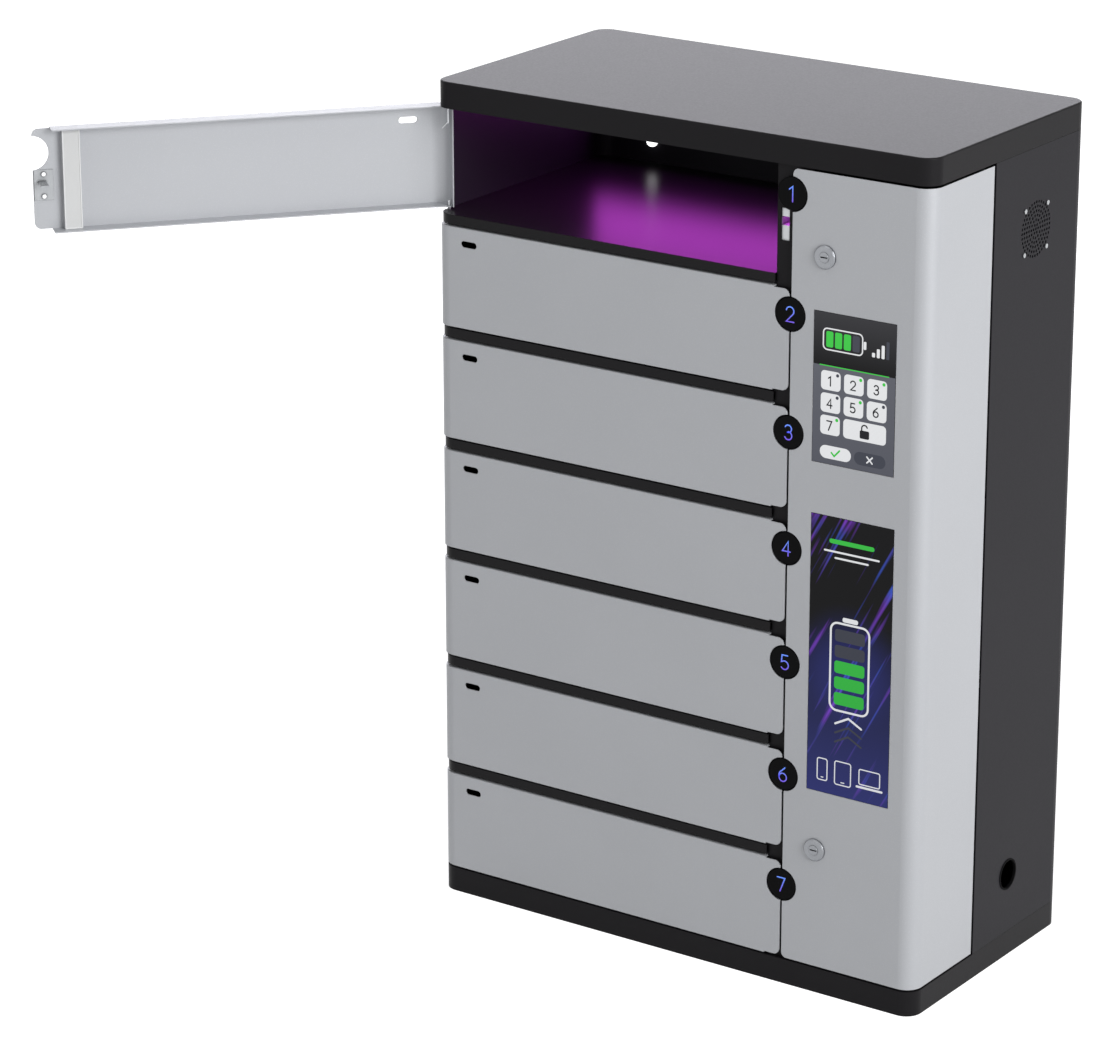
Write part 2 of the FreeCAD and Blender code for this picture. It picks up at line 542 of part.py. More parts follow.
hub_length = "(fan_depth - carrier_thick - 2*rotor_gap)"
hub = rod("rotor_hub", "fan_hub_radius", hub_length, ("0", "0", "0"), "X")
shaft = rod("rotor_shaft", "fan_shaft_radius", "carrier_thick + rotor_gap + %s/2" % hub_length,
            ("-carrier_thick - rotor_gap", "0", "0"), "X")
blades = []
for number in range(BLADE_COUNT):
    blade = block("blade_%d" % number, (
        "blade_thick", "blade_chord", "fan_bore_radius - fan_tip_gap - fan_hub_radius/2"),
        ("-blade_thick/2", "-blade_chord/2", "fan_hub_radius/2"))
    pitched = place(group("blade_pitched_%d" % number, [blade]), ("%s/2" % hub_length, "0", "0"),
                    (0, 0, 1), 90 - BLADE_PITCH_ANGLE)
    blades.append(place(group("blade_set_%d" % number, [pitched]), ("0", "0", "0"),
                        (1, 0, 0), 360 * number / BLADE_COUNT))
rotor = fuse("rotor", [hub, shaft] + blades)
node("fan_rotor", place(group("fan_rotor", [rotor]), (
    "%s + carrier_thick + rotor_gap" % frame_x, FAN_Y, FAN_Z)))

screws = []
for a in ("-", "+"):
    for b in ("-", "+"):
        spot = ("%s %s fan_screw_pitch/2" % (FAN_Y, a), "%s %s fan_screw_pitch/2" % (FAN_Z, b))
        mark = "_%d" % len(screws)
        shank = rod("fan_shank" + mark, "fan_screw_radius", "fan_depth + sheet_thick", (frame_x, *spot), "X")
        head = rod("fan_head" + mark, "fan_screw_head", "fan_screw_rise", (RIGHT, *spot), "X")
        screws.append(fuse("fan_screw" + mark, [shank, head]))
node("fan_screws", group("fan_screws", screws))

sleeve = rod("grommet_sleeve", "grommet_hole_radius - grommet_clear", "sheet_thick + grommet_lip",
             ("%s - sheet_thick - grommet_lip" % RIGHT, GROMMET_Y, GROMMET_Z), "X")
lips = [rod("grommet_lip_%d" % number, "grommet_lip_radius", "grommet_lip", (x, GROMMET_Y, GROMMET_Z), "X")
        for number, x in enumerate((RIGHT, "%s - sheet_thick - grommet_lip" % RIGHT))]
bore = rod("grommet_bore", "grommet_bore_radius", "sheet_thick + 2*grommet_lip + 2*overrun",
           ("%s - overrun" % wall_inside, GROMMET_Y, GROMMET_Z), "X")
node("cable_grommet", cut("cable_grommet", fuse("grommet_body", [sleeve] + lips), [bore]))

# Control panel, hinged at the rear of its right-hand side

panel_bend = corner_sheet("panel_bend", "panel_side", "%s - %s - panel_edge_strip" % (RIGHT, PANEL_LEFT),
                          PANEL_HEIGHT)
place(panel_bend, (RIGHT, FRONT, PANEL_LOW), angle=90)
edge_strip = rounded_block("panel_edge", "2*panel_edge_strip", PANEL_HEIGHT, "panel_radius", "sheet_thick")
place(edge_strip, ("%s + panel_edge_strip" % PANEL_LEFT, "%s + sheet_thick" % FRONT,
                   "%s + %s/2" % (PANEL_LOW, PANEL_HEIGHT)), (1, 0, 0), 90)
flanges = []
panel_inside = place(cabinet_block("panel_inside", "sheet_thick", PANEL_HEIGHT), ("0", "0", PANEL_LOW))
for number, low in enumerate((PANEL_LOW, "%s + %s - sheet_thick" % (PANEL_LOW, PANEL_HEIGHT))):
    across = block("panel_flange_front_%d" % number, (
        "%s - %s - panel_edge_strip" % (RIGHT, PANEL_LEFT), "panel_flange + sheet_thick", "sheet_thick"),
        ("%s + panel_edge_strip" % PANEL_LEFT, FRONT, low))
    along = block("panel_flange_side_%d" % number, (
        "panel_flange + sheet_thick", "panel_side", "sheet_thick"),
        ("%s - panel_flange - sheet_thick" % RIGHT, FRONT, low))
    flanges += [across, along]
panel_flanges = common("panel_flanges", fuse("panel_flange_strips", flanges), panel_inside)


def screen_opening(name, width, height, offset, level):
    """The hole in the panel's front for a screen, with its clearance."""
    return block(name, (
        "%s + 2*screen_clear" % width, "sheet_thick + 2*overrun", "%s + 2*screen_clear" % height),
        ("%s - %s/2 - screen_clear" % (offset, width), "%s - overrun" % FRONT,
         "%s - %s/2 - screen_clear" % (level, height)))


panel_cuts = [screen_opening("touch_opening", "touch_width", "touch_height", TOUCH_X, TOUCH_Z),
              screen_opening("display_opening", "display_width", "display_height",
                             DISPLAY_X, DISPLAY_Z)]
for name, level in PANEL_LOCKS:
    panel_cuts.append(rod(name + "_lock_hole", "barrel_radius + pin_clear", "sheet_thick + 2*overrun",
                          (LOCK_X, "%s - overrun" % FRONT, level), "Y"))
for number, low in enumerate((PANEL_LOW, "%s + %s - sheet_thick" % (PANEL_LOW, PANEL_HEIGHT))):
    panel_cuts.append(pin_hole("panel_pin_hole_%d" % number, "panel_pin_radius",
                               PANEL_PIVOT_X, PANEL_PIVOT_Y, low))
for number in range(1, DOOR_COUNT + 1):
    panel_cuts.append(rod("panel_notch_%d" % number, NOTCH_RADIUS, "sheet_thick + 2*overrun", (
        SEAM_X, "%s - overrun" % FRONT, "%s - badge_drop" % door_top(number)), "Y"))
node("control_panel", cut("control_panel", fuse("panel_sheet", [panel_bend, edge_strip, panel_flanges]),
                          [group("panel_openings", panel_cuts)]))


def screen(name, width, height, offset, level):
    """Flush front glass on a deeper housing that seats behind the panel's sheet."""
    glass = block(name + "_glass", (width, "screen_depth", height),
                  ("%s - %s/2" % (offset, width), FRONT, "%s - %s/2" % (level, height)))
    housing = block(name + "_housing", (
        "%s + 2*screen_rim" % width, "screen_depth - sheet_thick", "%s + 2*screen_rim" % height),
        ("%s - %s/2 - screen_rim" % (offset, width), "%s + sheet_thick" % FRONT,
         "%s - %s/2 - screen_rim" % (level, height)))
    node(name, fuse(name, [glass, housing]))


screen("touch_screen", "touch_width", "touch_height", TOUCH_X, TOUCH_Z)
screen("lower_display", "display_width", "display_height", DISPLAY_X, DISPLAY_Z)

lock_barrels = []
for name, level in PANEL_LOCKS:
    head_front = "(%s - head_height)" % FRONT
    head = rod(name + "_lock_head", "head_radius", "head_height - head_round",
               (LOCK_X, "%s + head_round" % head_front, level), "Y")
    rim = doc.addObject("Part::Cone", name + "_lock_rim")
    tie(rim, "Radius1", "head_radius - head_round")
    tie(rim, "Radius2", "head_radius")
    tie(rim, "Height", "head_round")
    place(rim, (LOCK_X, head_front, level), *TURN_TO["Y"])
    barrel = rod(name + "_lock_barrel", "barrel_radius", "barrel_length", (LOCK_X, FRONT, level), "Y")
    plug_bore = rod(name + "_lock_bore", "plug_radius + pin_clear", "head_height + barrel_length + 2*overrun",
                    (LOCK_X, "%s - overrun" % head_front, level), "Y")
    turning = fuse(name + "_lock_turning", [head, rim, barrel])
    lock_barrels.append(cut(name + "_lock_body", turning, [plug_bore]))
    plug_front = "(%s - plug_proud)" % head_front
    plug = rod(name + "_plug", "plug_radius",
               "plug_proud + head_height + barrel_length + seat_clear + cam_thick",
               (LOCK_X, plug_front, level), "Y")
    cam = block(name + "_cam", ("cam_width", "cam_thick", "cam_reach"), (
        "%s - cam_width/2" % LOCK_X, "%s + barrel_length + seat_clear" % FRONT, "%s - cam_reach" % level))
    keyway = block(name + "_keyway", ("keyway_length", "keyway_depth + overrun", "keyway_width"), (
        "%s - keyway_length/2" % LOCK_X, "%s - overrun" % plug_front, "%s - keyway_width/2" % level))
    node(name + "_lock_plug", cut(name + "_lock_plug", fuse(name + "_plug_and_cam", [plug, cam]), [keyway]))
node("panel_lock_bodies", group("panel_lock_bodies", lock_barrels))

panel_pin_length = "pin_grip + door_gap + sheet_thick + pin_reach"
node("panel_hinge_pins", group("panel_hinge_pins", [
    rod("panel_pin_top", "panel_pin_radius", panel_pin_length,
        (PANEL_PIVOT_X, PANEL_PIVOT_Y, "%s + %s - pin_grip" % (PANEL_LOW, PANEL_HEIGHT))),
    rod("panel_pin_bottom", "panel_pin_radius", panel_pin_length,
        (PANEL_PIVOT_X, PANEL_PIVOT_Y, "%s - door_gap - sheet_thick - pin_reach" % PANEL_LOW))]))

# One door, with its hinge axis at the origin and its lower edge at zero height

door_left = "(-pivot_inset)"
door_front = "(-pivot_setback)"
free_edge = "(%s + %s)" % (door_left, DOOR_WIDTH)
flange_end = "(%s + %s)" % (door_left, FLANGE_END)
inner_face = "(%s + sheet_thick)" % door_front

skin = place(corner_sheet("door_skin", FLANGE_END, "door_return", DOOR_HEIGHT), (door_left, door_front, "0"))
tab = rounded_block("door_tab", "2*tab_length", "%s - 2*tab_inset" % DOOR_HEIGHT, "tab_radius", "sheet_thick")
place(tab, (flange_end, inner_face, "%s/2" % DOOR_HEIGHT), (1, 0, 0), 90)
door_sheets = [skin, tab]
for number, low in enumerate(("0", "%s - sheet_thick" % DOOR_HEIGHT)):
    door_sheets.append(block("door_flange_%d" % number, (
        "%s - corner_radius" % FLANGE_END, "flange_depth", "sheet_thick"),
        ("%s + corner_radius" % door_left, door_front, low)))
    corner_area = block("door_corner_area_%d" % number, ("corner_radius", "corner_radius", "sheet_thick"),
                        (door_left, door_front, low))
    corner_disc = rod("door_corner_disc_%d" % number, "corner_radius", "sheet_thick",
                      ("%s + corner_radius" % door_left, "%s + corner_radius" % door_front, low))
    door_sheets.append(common("door_corner_%d" % number, corner_disc, corner_area))
    door_sheets.append(block("door_ear_%d" % number, (
        "corner_radius - sheet_thick", "ear_width", "sheet_thick"),
        ("%s + sheet_thick" % door_left, "-ear_width", low)))
    door_sheets.append(rod("door_ear_end_%d" % number, "ear_radius", "sheet_thick", ("0", "0", low)))
channel = block("stiffener_outside", ("stiffener_width", "stiffener_depth", DOOR_HEIGHT),
                ("%s - stiffener_offset - stiffener_width/2" % free_edge, inner_face, "0"))
channel_hollow = block("stiffener_inside", (
    "stiffener_width - 2*sheet_thick", "stiffener_depth - sheet_thick", DOOR_HEIGHT),
    ("%s - stiffener_offset - stiffener_width/2 + sheet_thick" % free_edge, inner_face, "0"))
door_sheets.append(cut("stiffener", channel, [channel_hollow]))
slot_x = "(%s + slot_inset)" % door_left
slot_z = "(%s - slot_drop)" % DOOR_HEIGHT
slot_run = "(slot_length - slot_height)"
slot_y = "%s - overrun" % door_front
vent = [block("slot_middle", (slot_run, "sheet_thick + 2*overrun", "slot_height"),
              ("%s - %s/2" % (slot_x, slot_run), slot_y, "%s - slot_height/2" % slot_z))]
for side in "-+":
    end_at = ("%s %s %s/2" % (slot_x, side, slot_run), slot_y, slot_z)
    end_name = {"-": "slot_end_left", "+": "slot_end_right"}[side]
    vent.append(rod(end_name, "slot_height/2", "sheet_thick + 2*overrun", end_at, "Y"))
door_notch = rod("door_notch", NOTCH_RADIUS, "sheet_thick + 2*overrun",
                 ("%s + seam_gap/2" % free_edge, slot_y, "%s - badge_drop" % DOOR_HEIGHT), "Y")
door_pin_hole = rod("door_pin_hole", "pin_radius + pin_clear", "%s + 2*overrun" % DOOR_HEIGHT,
                    ("0", "0", "-overrun"))
door_shell = cut("door_shell", fuse("door_sheet", door_sheets), vent + [door_notch, door_pin_hole])

window_local = "(%s - %s)" % (WINDOW_X, PIVOT_X)
bolt_local = "(%s - %s)" % (BOLT_Y, PIVOT_Y)
plate_right = "(%s - plate_edge)" % free_edge
plate_z = "(%s - plate_drop)" % DOOR_HEIGHT
tongue_z = "(%s - tongue_drop)" % DOOR_HEIGHT
plate_inner = "(%s + plate_thick)" % inner_face
plate = block("striker_plate", ("plate_width", "plate_thick", "plate_height"),
              ("%s - plate_width" % plate_right, inner_face, "%s - plate_height/2" % plate_z))
tongue = block("striker_tongue", ("tongue_width", "tongue_length + plate_thick", "tongue_thick"),
               ("%s - tongue_width/2" % window_local, inner_face, "%s - tongue_thick/2" % tongue_z))
bolt_hole = rod("striker_bolt_hole", "bolt_radius + bolt_hole_clear", "tongue_thick + 2*overrun",
                (window_local, bolt_local, "%s - tongue_thick/2 - overrun" % tongue_z))
studs = []
stud_holes = []
for side in "-+":
    spot = ("%s - plate_width/2" % plate_right, inner_face, "%s %s stud_pitch/2" % (plate_z, side))
    mark = {"-": "_low", "+": "_high"}[side]
    shank = rod("stud" + mark, "stud_radius", "plate_thick", spot, "Y")
    cap = rod("stud_cap" + mark, "cap_radius", "cap_height", (spot[0], plate_inner, spot[2]), "Y")
    studs.append(fuse("striker_stud" + mark, [shank, cap]))
    stud_holes.append(rod("stud_hole" + mark, "stud_radius + pin_clear", "plate_thick", spot, "Y"))
striker_body = cut("striker_body", fuse("striker_bent", [plate, tongue]), [bolt_hole] + stud_holes)
striker = group("striker", [striker_body] + studs)

pin_out = "(door_gap + sheet_thick + pin_reach)"
sprung_low = "(%s - sprung_grip)" % DOOR_HEIGHT
top_pin = rod("top_pin", "pin_radius", "sprung_grip + %s" % pin_out, ("0", "0", sprung_low))
tail_at = ("0", "0", "%s + 2*tail_radius" % sprung_low)
tail = rod("top_pin_tail", "tail_radius", "tail_length", tail_at, "down")
bottom_pin = rod("bottom_pin", "pin_radius", "foot_grip + %s" % pin_out, ("0", "0", "-%s" % pin_out))
door_pins = group("door_pins", [fuse("sprung_pin", [top_pin, tail]), bottom_pin])

latch_bolt = rod("latch_bolt", "bolt_radius", "bolt_length", ("0", "0", "0"))

for number in range(1, DOOR_COUNT + 1):
    hinge_at = (PIVOT_X, PIVOT_Y, door_low(number))
    swing = "-door_open_angle" if number == 1 else None
    for suffix, piece in (("shell", door_shell), ("striker", striker), ("pins", door_pins)):
        copy_of("door_%d_%s" % (number, suffix), piece, hinge_at, swing)
    copy_of("door_%d_latch" % number, latch_bolt, (
        WINDOW_X, BOLT_Y, "%s - tongue_drop - tongue_thick/2 - bolt_rest - bolt_length" % door_top(number)))

# Check and write every sub-part

doc.recompute()
faults = [item.Name for item in doc.Objects if "Invalid" in item.State or "Error" in item.State]
faults += [item.Label for item in nodes if item.Shape.isNull() or not item.Shape.isValid()]
if faults:
    raise RuntimeError("unsound: " + ", ".join(faults))
os.makedirs("parts", exist_ok=True)
for item in nodes:
    item.Shape.exportStep("parts/%s.step" % item.Label)
print(len(nodes), "sub-parts")
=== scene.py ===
"""Charging locker: finishes, numerals, screen pictures, small fittings, light and camera."""

import json
import math

import bmesh
import bpy
from mathutils import Matrix, Vector


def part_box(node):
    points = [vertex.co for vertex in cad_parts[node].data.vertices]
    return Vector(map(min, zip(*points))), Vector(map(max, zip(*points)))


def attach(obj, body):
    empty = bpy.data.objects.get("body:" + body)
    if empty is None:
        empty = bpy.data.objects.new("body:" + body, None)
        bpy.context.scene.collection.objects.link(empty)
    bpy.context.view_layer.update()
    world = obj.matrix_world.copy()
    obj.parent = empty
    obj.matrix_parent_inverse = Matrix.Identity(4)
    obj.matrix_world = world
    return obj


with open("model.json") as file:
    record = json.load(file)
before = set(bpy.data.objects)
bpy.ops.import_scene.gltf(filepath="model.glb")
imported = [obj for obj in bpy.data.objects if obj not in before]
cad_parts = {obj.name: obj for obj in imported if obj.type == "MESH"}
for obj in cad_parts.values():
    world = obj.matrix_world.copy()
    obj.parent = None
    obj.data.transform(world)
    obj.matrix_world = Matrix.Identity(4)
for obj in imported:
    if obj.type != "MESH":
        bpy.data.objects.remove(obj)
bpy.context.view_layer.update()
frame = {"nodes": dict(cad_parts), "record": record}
nodes = frame["nodes"]
scene = bpy.context.scene
MM = 0.001

# Named lengths are in mm, but those of the lamps, the floor and the camera are in metres.
# The open compartment is the one above OPEN_COMPARTMENT
DOOR_COUNT = 7
DOOR_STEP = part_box("shelf_1")[0][2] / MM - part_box("shelf_2")[0][2] / MM
OPEN_COMPARTMENT = 850


def corners(node):
    """A node's lowest and highest corners at rest, in mm."""
    return [[v / MM for v in corner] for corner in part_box(node)]


def linear(code):
    """An sRGB hex colour as the linear RGBA that sockets take."""
    channels = [int(code[i:i + 2], 16) / 255 for i in (1, 3, 5)]
    return [c / 12.92 if c <= 0.04045 else ((c + 0.055) / 1.055) ** 2.4 for c in channels] + [1.0]


def add(tree, kind, inputs=None, **settings):
    """One node with its settings; an input is a value, or the socket that it is linked from."""
    node = tree.nodes.new(kind)
    for key, setting in settings.items():
        setattr(node, key, setting)
    for key, given in (inputs or {}).items():
        if isinstance(given, bpy.types.NodeSocket):
            tree.links.new(given, node.inputs[key])
        else:
            node.inputs[key].default_value = given
    return node


def finish(name, sockets):
    """A new material, its node tree, its Principled shader with the given sockets, and the object's coordinates."""
    material = bpy.data.materials.new(name)
    material.use_nodes = True
    tree = material.node_tree
    tree.nodes.clear()
    shader = add(tree, "ShaderNodeBsdfPrincipled", sockets)
    add(tree, "ShaderNodeOutputMaterial", {"Surface": shader.outputs[0]})
    place = add(tree, "ShaderNodeTexCoord").outputs["Object"]
    return material, tree, shader, place


# Finishes

def powder_coat(name, deep, pale, fleck, satin, sockets, relief=0.09, shade_span=None, shade_line_height=1.1):
    """Polyester powder, sprayed on sheet steel and baked. To the eye: an even satin with fine orange peel, a faint
    cloud of tone left by the spray gun, paler pigment specks, and edges where the coat is rounded over the cut.
    Given a span of heights in metres, the sheet's top and bottom ends get painted shade, black over shade_line_height
    in mm, for the shadow in the narrow gaps at those ends."""
    material, tree, shader, place = finish(name, sockets)
    # The peel is 0.8 mm across and the specks 0.3 mm: drawn at 2.4 and 1.8 mm so that they show
    peel = add(tree, "ShaderNodeTexNoise", {"Vector": place, "Scale": 1 / (2.4 * MM), "Detail": 2.0})
    speck = add(tree, "ShaderNodeTexVoronoi", {"Vector": place, "Scale": 1 / (1.8 * MM)})
    cloud = add(tree, "ShaderNodeTexNoise", {"Vector": place, "Scale": 1 / (160 * MM), "Detail": 3.0})
    tone = add(tree, "ShaderNodeMix", {
        0: cloud.outputs[0], 6: linear(deep), 7: linear(pale)}, data_type="RGBA")
    bright = add(tree, "ShaderNodeMapRange", {
        "Value": speck.outputs["Distance"], "From Min": 0.05, "From Max": 0.3, "To Min": 0.3, "To Max": 0.0})
    colour = add(tree, "ShaderNodeMix", {
        0: bright.outputs[0], 6: tone.outputs[2], 7: linear(fleck)}, data_type="RGBA").outputs[2]
    # Painted shade: the colour goes to black towards the sheet's top and bottom ends, for the shadow in the gaps there
    if shade_span:
        height = add(tree, "ShaderNodeSeparateXYZ", {"Vector": place})
        middle = add(tree, "ShaderNodeMath", {0: height.outputs["Z"], 1: sum(shade_span) / 2}, operation="SUBTRACT")
        away = add(tree, "ShaderNodeMath", {0: middle.outputs[0]}, operation="ABSOLUTE")
        end = (shade_span[1] - shade_span[0]) / 2
        line = add(tree, "ShaderNodeMapRange", {
            "Value": away.outputs[0], "From Min": end - shade_line_height * MM, "From Max": end - shade_line_height / 2 * MM,
            "To Min": 1.0, "To Max": 0.0})
        colour = add(tree, "ShaderNodeVectorMath", {
            0: colour, "Scale": line.outputs[0]}, operation="SCALE").outputs[0]
    gloss = add(tree, "ShaderNodeMapRange", {
        "Value": peel.outputs[0], "From Min": 0.3, "From Max": 0.7,
        "To Min": satin - relief / 2, "To Max": satin + relief / 2})
    edge = add(tree, "ShaderNodeBevel", {"Radius": 0.7 * MM}, samples=3)
    skin = add(tree, "ShaderNodeBump", {
        "Strength": relief, "Distance": 0.12 * MM, "Height": peel.outputs[0], "Normal": edge.outputs[0]})
    tree.links.new(colour, shader.inputs["Base Color"])
    tree.links.new(gloss.outputs[0], shader.inputs["Roughness"])
    tree.links.new(skin.outputs[0], shader.inputs["Normal"])
    return material


def plated_steel(name, dull, clear, satin, grain, crease_shade_tone=0.12, edge_radius=0.4):
    """Zinc, nickel or chrome plated on pressed steel. To the eye: a cold bright metal, clouded where the bath was
    uneven, with fine drawing lines along the part. Its creases get painted shade, darkened by ambient occlusion down to
    crease_shade_tone."""
    material, tree, shader, place = finish(name, {"Metallic": 1.0})
    lines = add(tree, "ShaderNodeMapping", {"Vector": place, "Scale": (1.0, 1.0, 0.08)})
    drawn = add(tree, "ShaderNodeTexNoise", {"Vector": lines.outputs[0], "Scale": 1 / (grain * MM), "Detail": 3.0})
    cloud = add(tree, "ShaderNodeTexNoise", {"Vector": place, "Scale": 1 / (14 * MM), "Detail": 2.0})
    colour = add(tree, "ShaderNodeMix", {
        0: cloud.outputs[0], 6: linear(dull), 7: linear(clear)}, data_type="RGBA")
    # Painted shade: ambient occlusion darkens the colour in creases and round small parts
    painted_crease_shade = add(tree, "ShaderNodeAmbientOcclusion", {"Distance": 3 * MM}, samples=6)
    unshaded_share = add(tree, "ShaderNodeMapRange", {
        "Value": painted_crease_shade.outputs["AO"], "From Min": 0.35, "From Max": 0.95, "To Min": crease_shade_tone, "To Max": 1.0})
    shade = add(tree, "ShaderNodeVectorMath", {
        0: colour.outputs[2], "Scale": unshaded_share.outputs[0]}, operation="SCALE")
    gloss = add(tree, "ShaderNodeMapRange", {
        "Value": drawn.outputs[0], "From Min": 0.3, "From Max": 0.7, "To Min": satin - 0.06, "To Max": satin + 0.1})
    edge = add(tree, "ShaderNodeBevel", {"Radius": edge_radius * MM}, samples=3)
    skin = add(tree, "ShaderNodeBump", {
        "Strength": 0.12, "Distance": 0.05 * MM, "Height": drawn.outputs[0], "Normal": edge.outputs[0]})
    tree.links.new(shade.outputs[0], shader.inputs["Base Color"])
    tree.links.new(gloss.outputs[0], shader.inputs["Roughness"])
    tree.links.new(skin.outputs[0], shader.inputs["Normal"])
    return material


def moulded(name, deep, pale, satin, grain, depth, specular):
    """Plastic or rubber from a mould. To the eye: one colour through, with the mould's spark-eroded grain and
    slightly glossier patches where it filled hot."""
    material, tree, shader, place = finish(name, {"Specular IOR Level": specular, "IOR": 1.5})
    spark = add(tree, "ShaderNodeTexVoronoi", {"Vector": place, "Scale": 1 / (grain * MM)})
    flow = add(tree, "ShaderNodeTexNoise", {"Vector": place, "Scale": 1 / (25 * MM), "Detail": 2.0})
    colour = add(tree, "ShaderNodeMix", {
        0: flow.outputs[0], 6: linear(deep), 7: linear(pale)}, data_type="RGBA")
    gloss = add(tree, "ShaderNodeMapRange", {
        "Value": flow.outputs[0], "From Min": 0.3, "From Max": 0.7, "To Min": satin + 0.05, "To Max": satin - 0.05})
    edge = add(tree, "ShaderNodeBevel", {"Radius": 0.4 * MM}, samples=3)
    skin = add(tree, "ShaderNodeBump", {
        "Strength": depth, "Distance": 0.1 * MM, "Height": spark.outputs["Distance"], "Normal": edge.outputs[0]})
    tree.links.new(colour.outputs[2], shader.inputs["Base Color"])
    tree.links.new(gloss.outputs[0], shader.inputs["Roughness"])
    tree.links.new(skin.outputs[0], shader.inputs["Normal"])
    return material


def opal_light(name, body, glow, strength):
    """Opal acrylic over light-emitting diodes. To the eye: milky white with a faint cloud, and lit evenly in the
    open compartment at the top; the others are off."""
    material, tree, shader, place = finish(name, {"Roughness": 0.35, "Emission Strength": strength})
    height = add(tree, "ShaderNodeSeparateXYZ", {"Vector": place})
    lit = add(tree, "ShaderNodeMath", {0: height.outputs[2], 1: OPEN_COMPARTMENT * MM}, operation="GREATER_THAN")
    milk = add(tree, "ShaderNodeTexNoise", {"Vector": place, "Scale": 1 / (6 * MM), "Detail": 2.0})
    colour = add(tree, "ShaderNodeMix", {
        0: milk.outputs[0], 6: linear(body), 7: linear("#f4f2f4")}, data_type="RGBA")
    light = add(tree, "ShaderNodeMix", {
        0: lit.outputs[0], 6: linear("#000000"), 7: linear(glow)}, data_type="RGBA")
    tree.links.new(colour.outputs[2], shader.inputs["Base Color"])
    tree.links.new(light.outputs[2], shader.inputs["Emission Color"])
    return material


def brushed_aluminium():
    """Extruded case, brushed along its length and clear anodised. To the eye: long fine streaks that spread the
    highlight across them."""
    material, tree, shader, place = finish("brushed_aluminium", {"Metallic": 1.0})
    along = add(tree, "ShaderNodeMapping", {"Vector": place, "Scale": (1.0, 1.0, 0.02)})
    streak = add(tree, "ShaderNodeTexNoise", {"Vector": along.outputs[0], "Scale": 1 / (0.8 * MM), "Detail": 4.0})
    colour = add(tree, "ShaderNodeMix", {
        0: streak.outputs[0], 6: linear("#8e9094"), 7: linear("#c3c5c8")}, data_type="RGBA")
    gloss = add(tree, "ShaderNodeMapRange", {"Value": streak.outputs[0], "To Min": 0.28, "To Max": 0.5})
    skin = add(tree, "ShaderNodeBump", {"Strength": 0.2, "Distance": 0.05 * MM, "Height": streak.outputs[0]})
    tree.links.new(colour.outputs[2], shader.inputs["Base Color"])
    tree.links.new(gloss.outputs[0], shader.inputs["Roughness"])
    tree.links.new(skin.outputs[0], shader.inputs["Normal"])
    return material


def cover_glass(name, deep):
    """Toughened glass with a black printed back and an etched, low-glare front. To the eye: near black, with a
    soft reflection and the faint smear of a wiping cloth."""
    material, tree, shader, place = finish(name, {"IOR": 1.5, "Specular IOR Level": 0.3})
    wipe = add(tree, "ShaderNodeTexNoise", {
        "Vector": place, "Scale": 1 / (40 * MM), "Detail": 4.0, "Distortion": 1.5})
    colour = add(tree, "ShaderNodeMix", {
        0: wipe.outputs[0], 6: linear(deep), 7: linear("#0d0d10")}, data_type="RGBA")
    gloss = add(tree, "ShaderNodeMapRange", {"Value": wipe.outputs[0], "To Min": 0.06, "To Max": 0.2})
    tree.links.new(colour.outputs[2], shader.inputs["Base Color"])
    tree.links.new(gloss.outputs[0], shader.inputs["Roughness"])
    return material


SILVER = ("#adafb3", "#b3b5b9", "#d0d2d5", 0.42, {
    "IOR": 1.5, "Specular IOR Level": 0.4, "Metallic": 0.15}, 0.09)
FINISHES = {
    "black_powder_coat": powder_coat("black_powder_coat", "#1a191b", "#1e1d1f", "#272628", 0.4, {
        "IOR": 1.5, "Specular IOR Level": 0.07}, 0.04),
    # The charcoal sheets get painted shade at the heights of the side panel's top and bottom ends, for the shadow in
    # their joints with the cover and the base
    "charcoal_powder_coat": powder_coat("charcoal_powder_coat", "#1d1c20", "#212024", "#2a292e", 0.42, {
        "IOR": 1.5, "Specular IOR Level": 0.08}, 0.05, [corner[2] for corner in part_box("right_side_panel")]),
    "silver_powder_coat": powder_coat("silver_powder_coat", *SILVER),
    "badge_acrylic": moulded("badge_acrylic", "#070708", "#0c0c0d", 0.3, 0.9, 0.03, 0.04),
    "lock_steel": plated_steel("zinc_plated_steel", "#a4a6a9", "#b8babc", 0.46, 0.9),
    "lock_chrome": plated_steel("satin_chrome", "#818387", "#8f9195", 0.3, 0.7, 0.6, 1.2),
    "light_diffuser": opal_light("violet_light_bar", "#d9cfe6", "#a02ad0", 2.0),
    "lamp_dome": opal_light("white_lamp_dome", "#f0efee", "#ffffff", 2.2),
    "port_plastic": moulded("port_plastic", "#141517", "#1b1c1e", 0.5, 0.9, 0.2, 0.4),
    "supply_aluminium": brushed_aluminium(),
    "fan_plastic": moulded("fan_plastic", "#101011", "#161617", 0.45, 0.8, 0.15, 0.4),
    "grommet_rubber": moulded("grommet_rubber", "#060607", "#0a0a0b", 0.85, 1.1, 0.3, 0.08),
    "touch_glass": cover_glass("touch_cover_glass", "#070709"),
    "display_glass": cover_glass("display_cover_glass", "#050507"),
}
for subpart in frame["record"]["subparts"]:
    slots = nodes[subpart["node"]].data.materials
    slots.clear()
    slots.append(FINISHES[subpart["material_slot"]])
shelf_coat = powder_coat("shelf_powder_coat", "#171618", "#19181a", "#1b1a1c", 0.29, {
    "IOR": 1.5, "Specular IOR Level": 0.1}, 0.015)
for shelf in range(1, DOOR_COUNT):
    nodes["shelf_%d" % shelf].data.materials[0] = shelf_coat
# The panel's folded top and bottom ends carry painted shade, black for the shadow in the narrow gaps above and below it
nodes["control_panel"].data.materials[0] = powder_coat("silver_panel_coat_gap_shade", *SILVER, [
    corner[2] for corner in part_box("control_panel")], 0.2)
striker_steel = plated_steel("dull_zinc_plate", "#8c8e91", "#9c9ea0", 0.5, 0.9)
for door in range(1, DOOR_COUNT + 1):
    nodes["door_%d_striker" % door].data.materials[0] = striker_steel


# Flat work, drawn in mm on the front plane: x to the right, z up, y the depth of its face

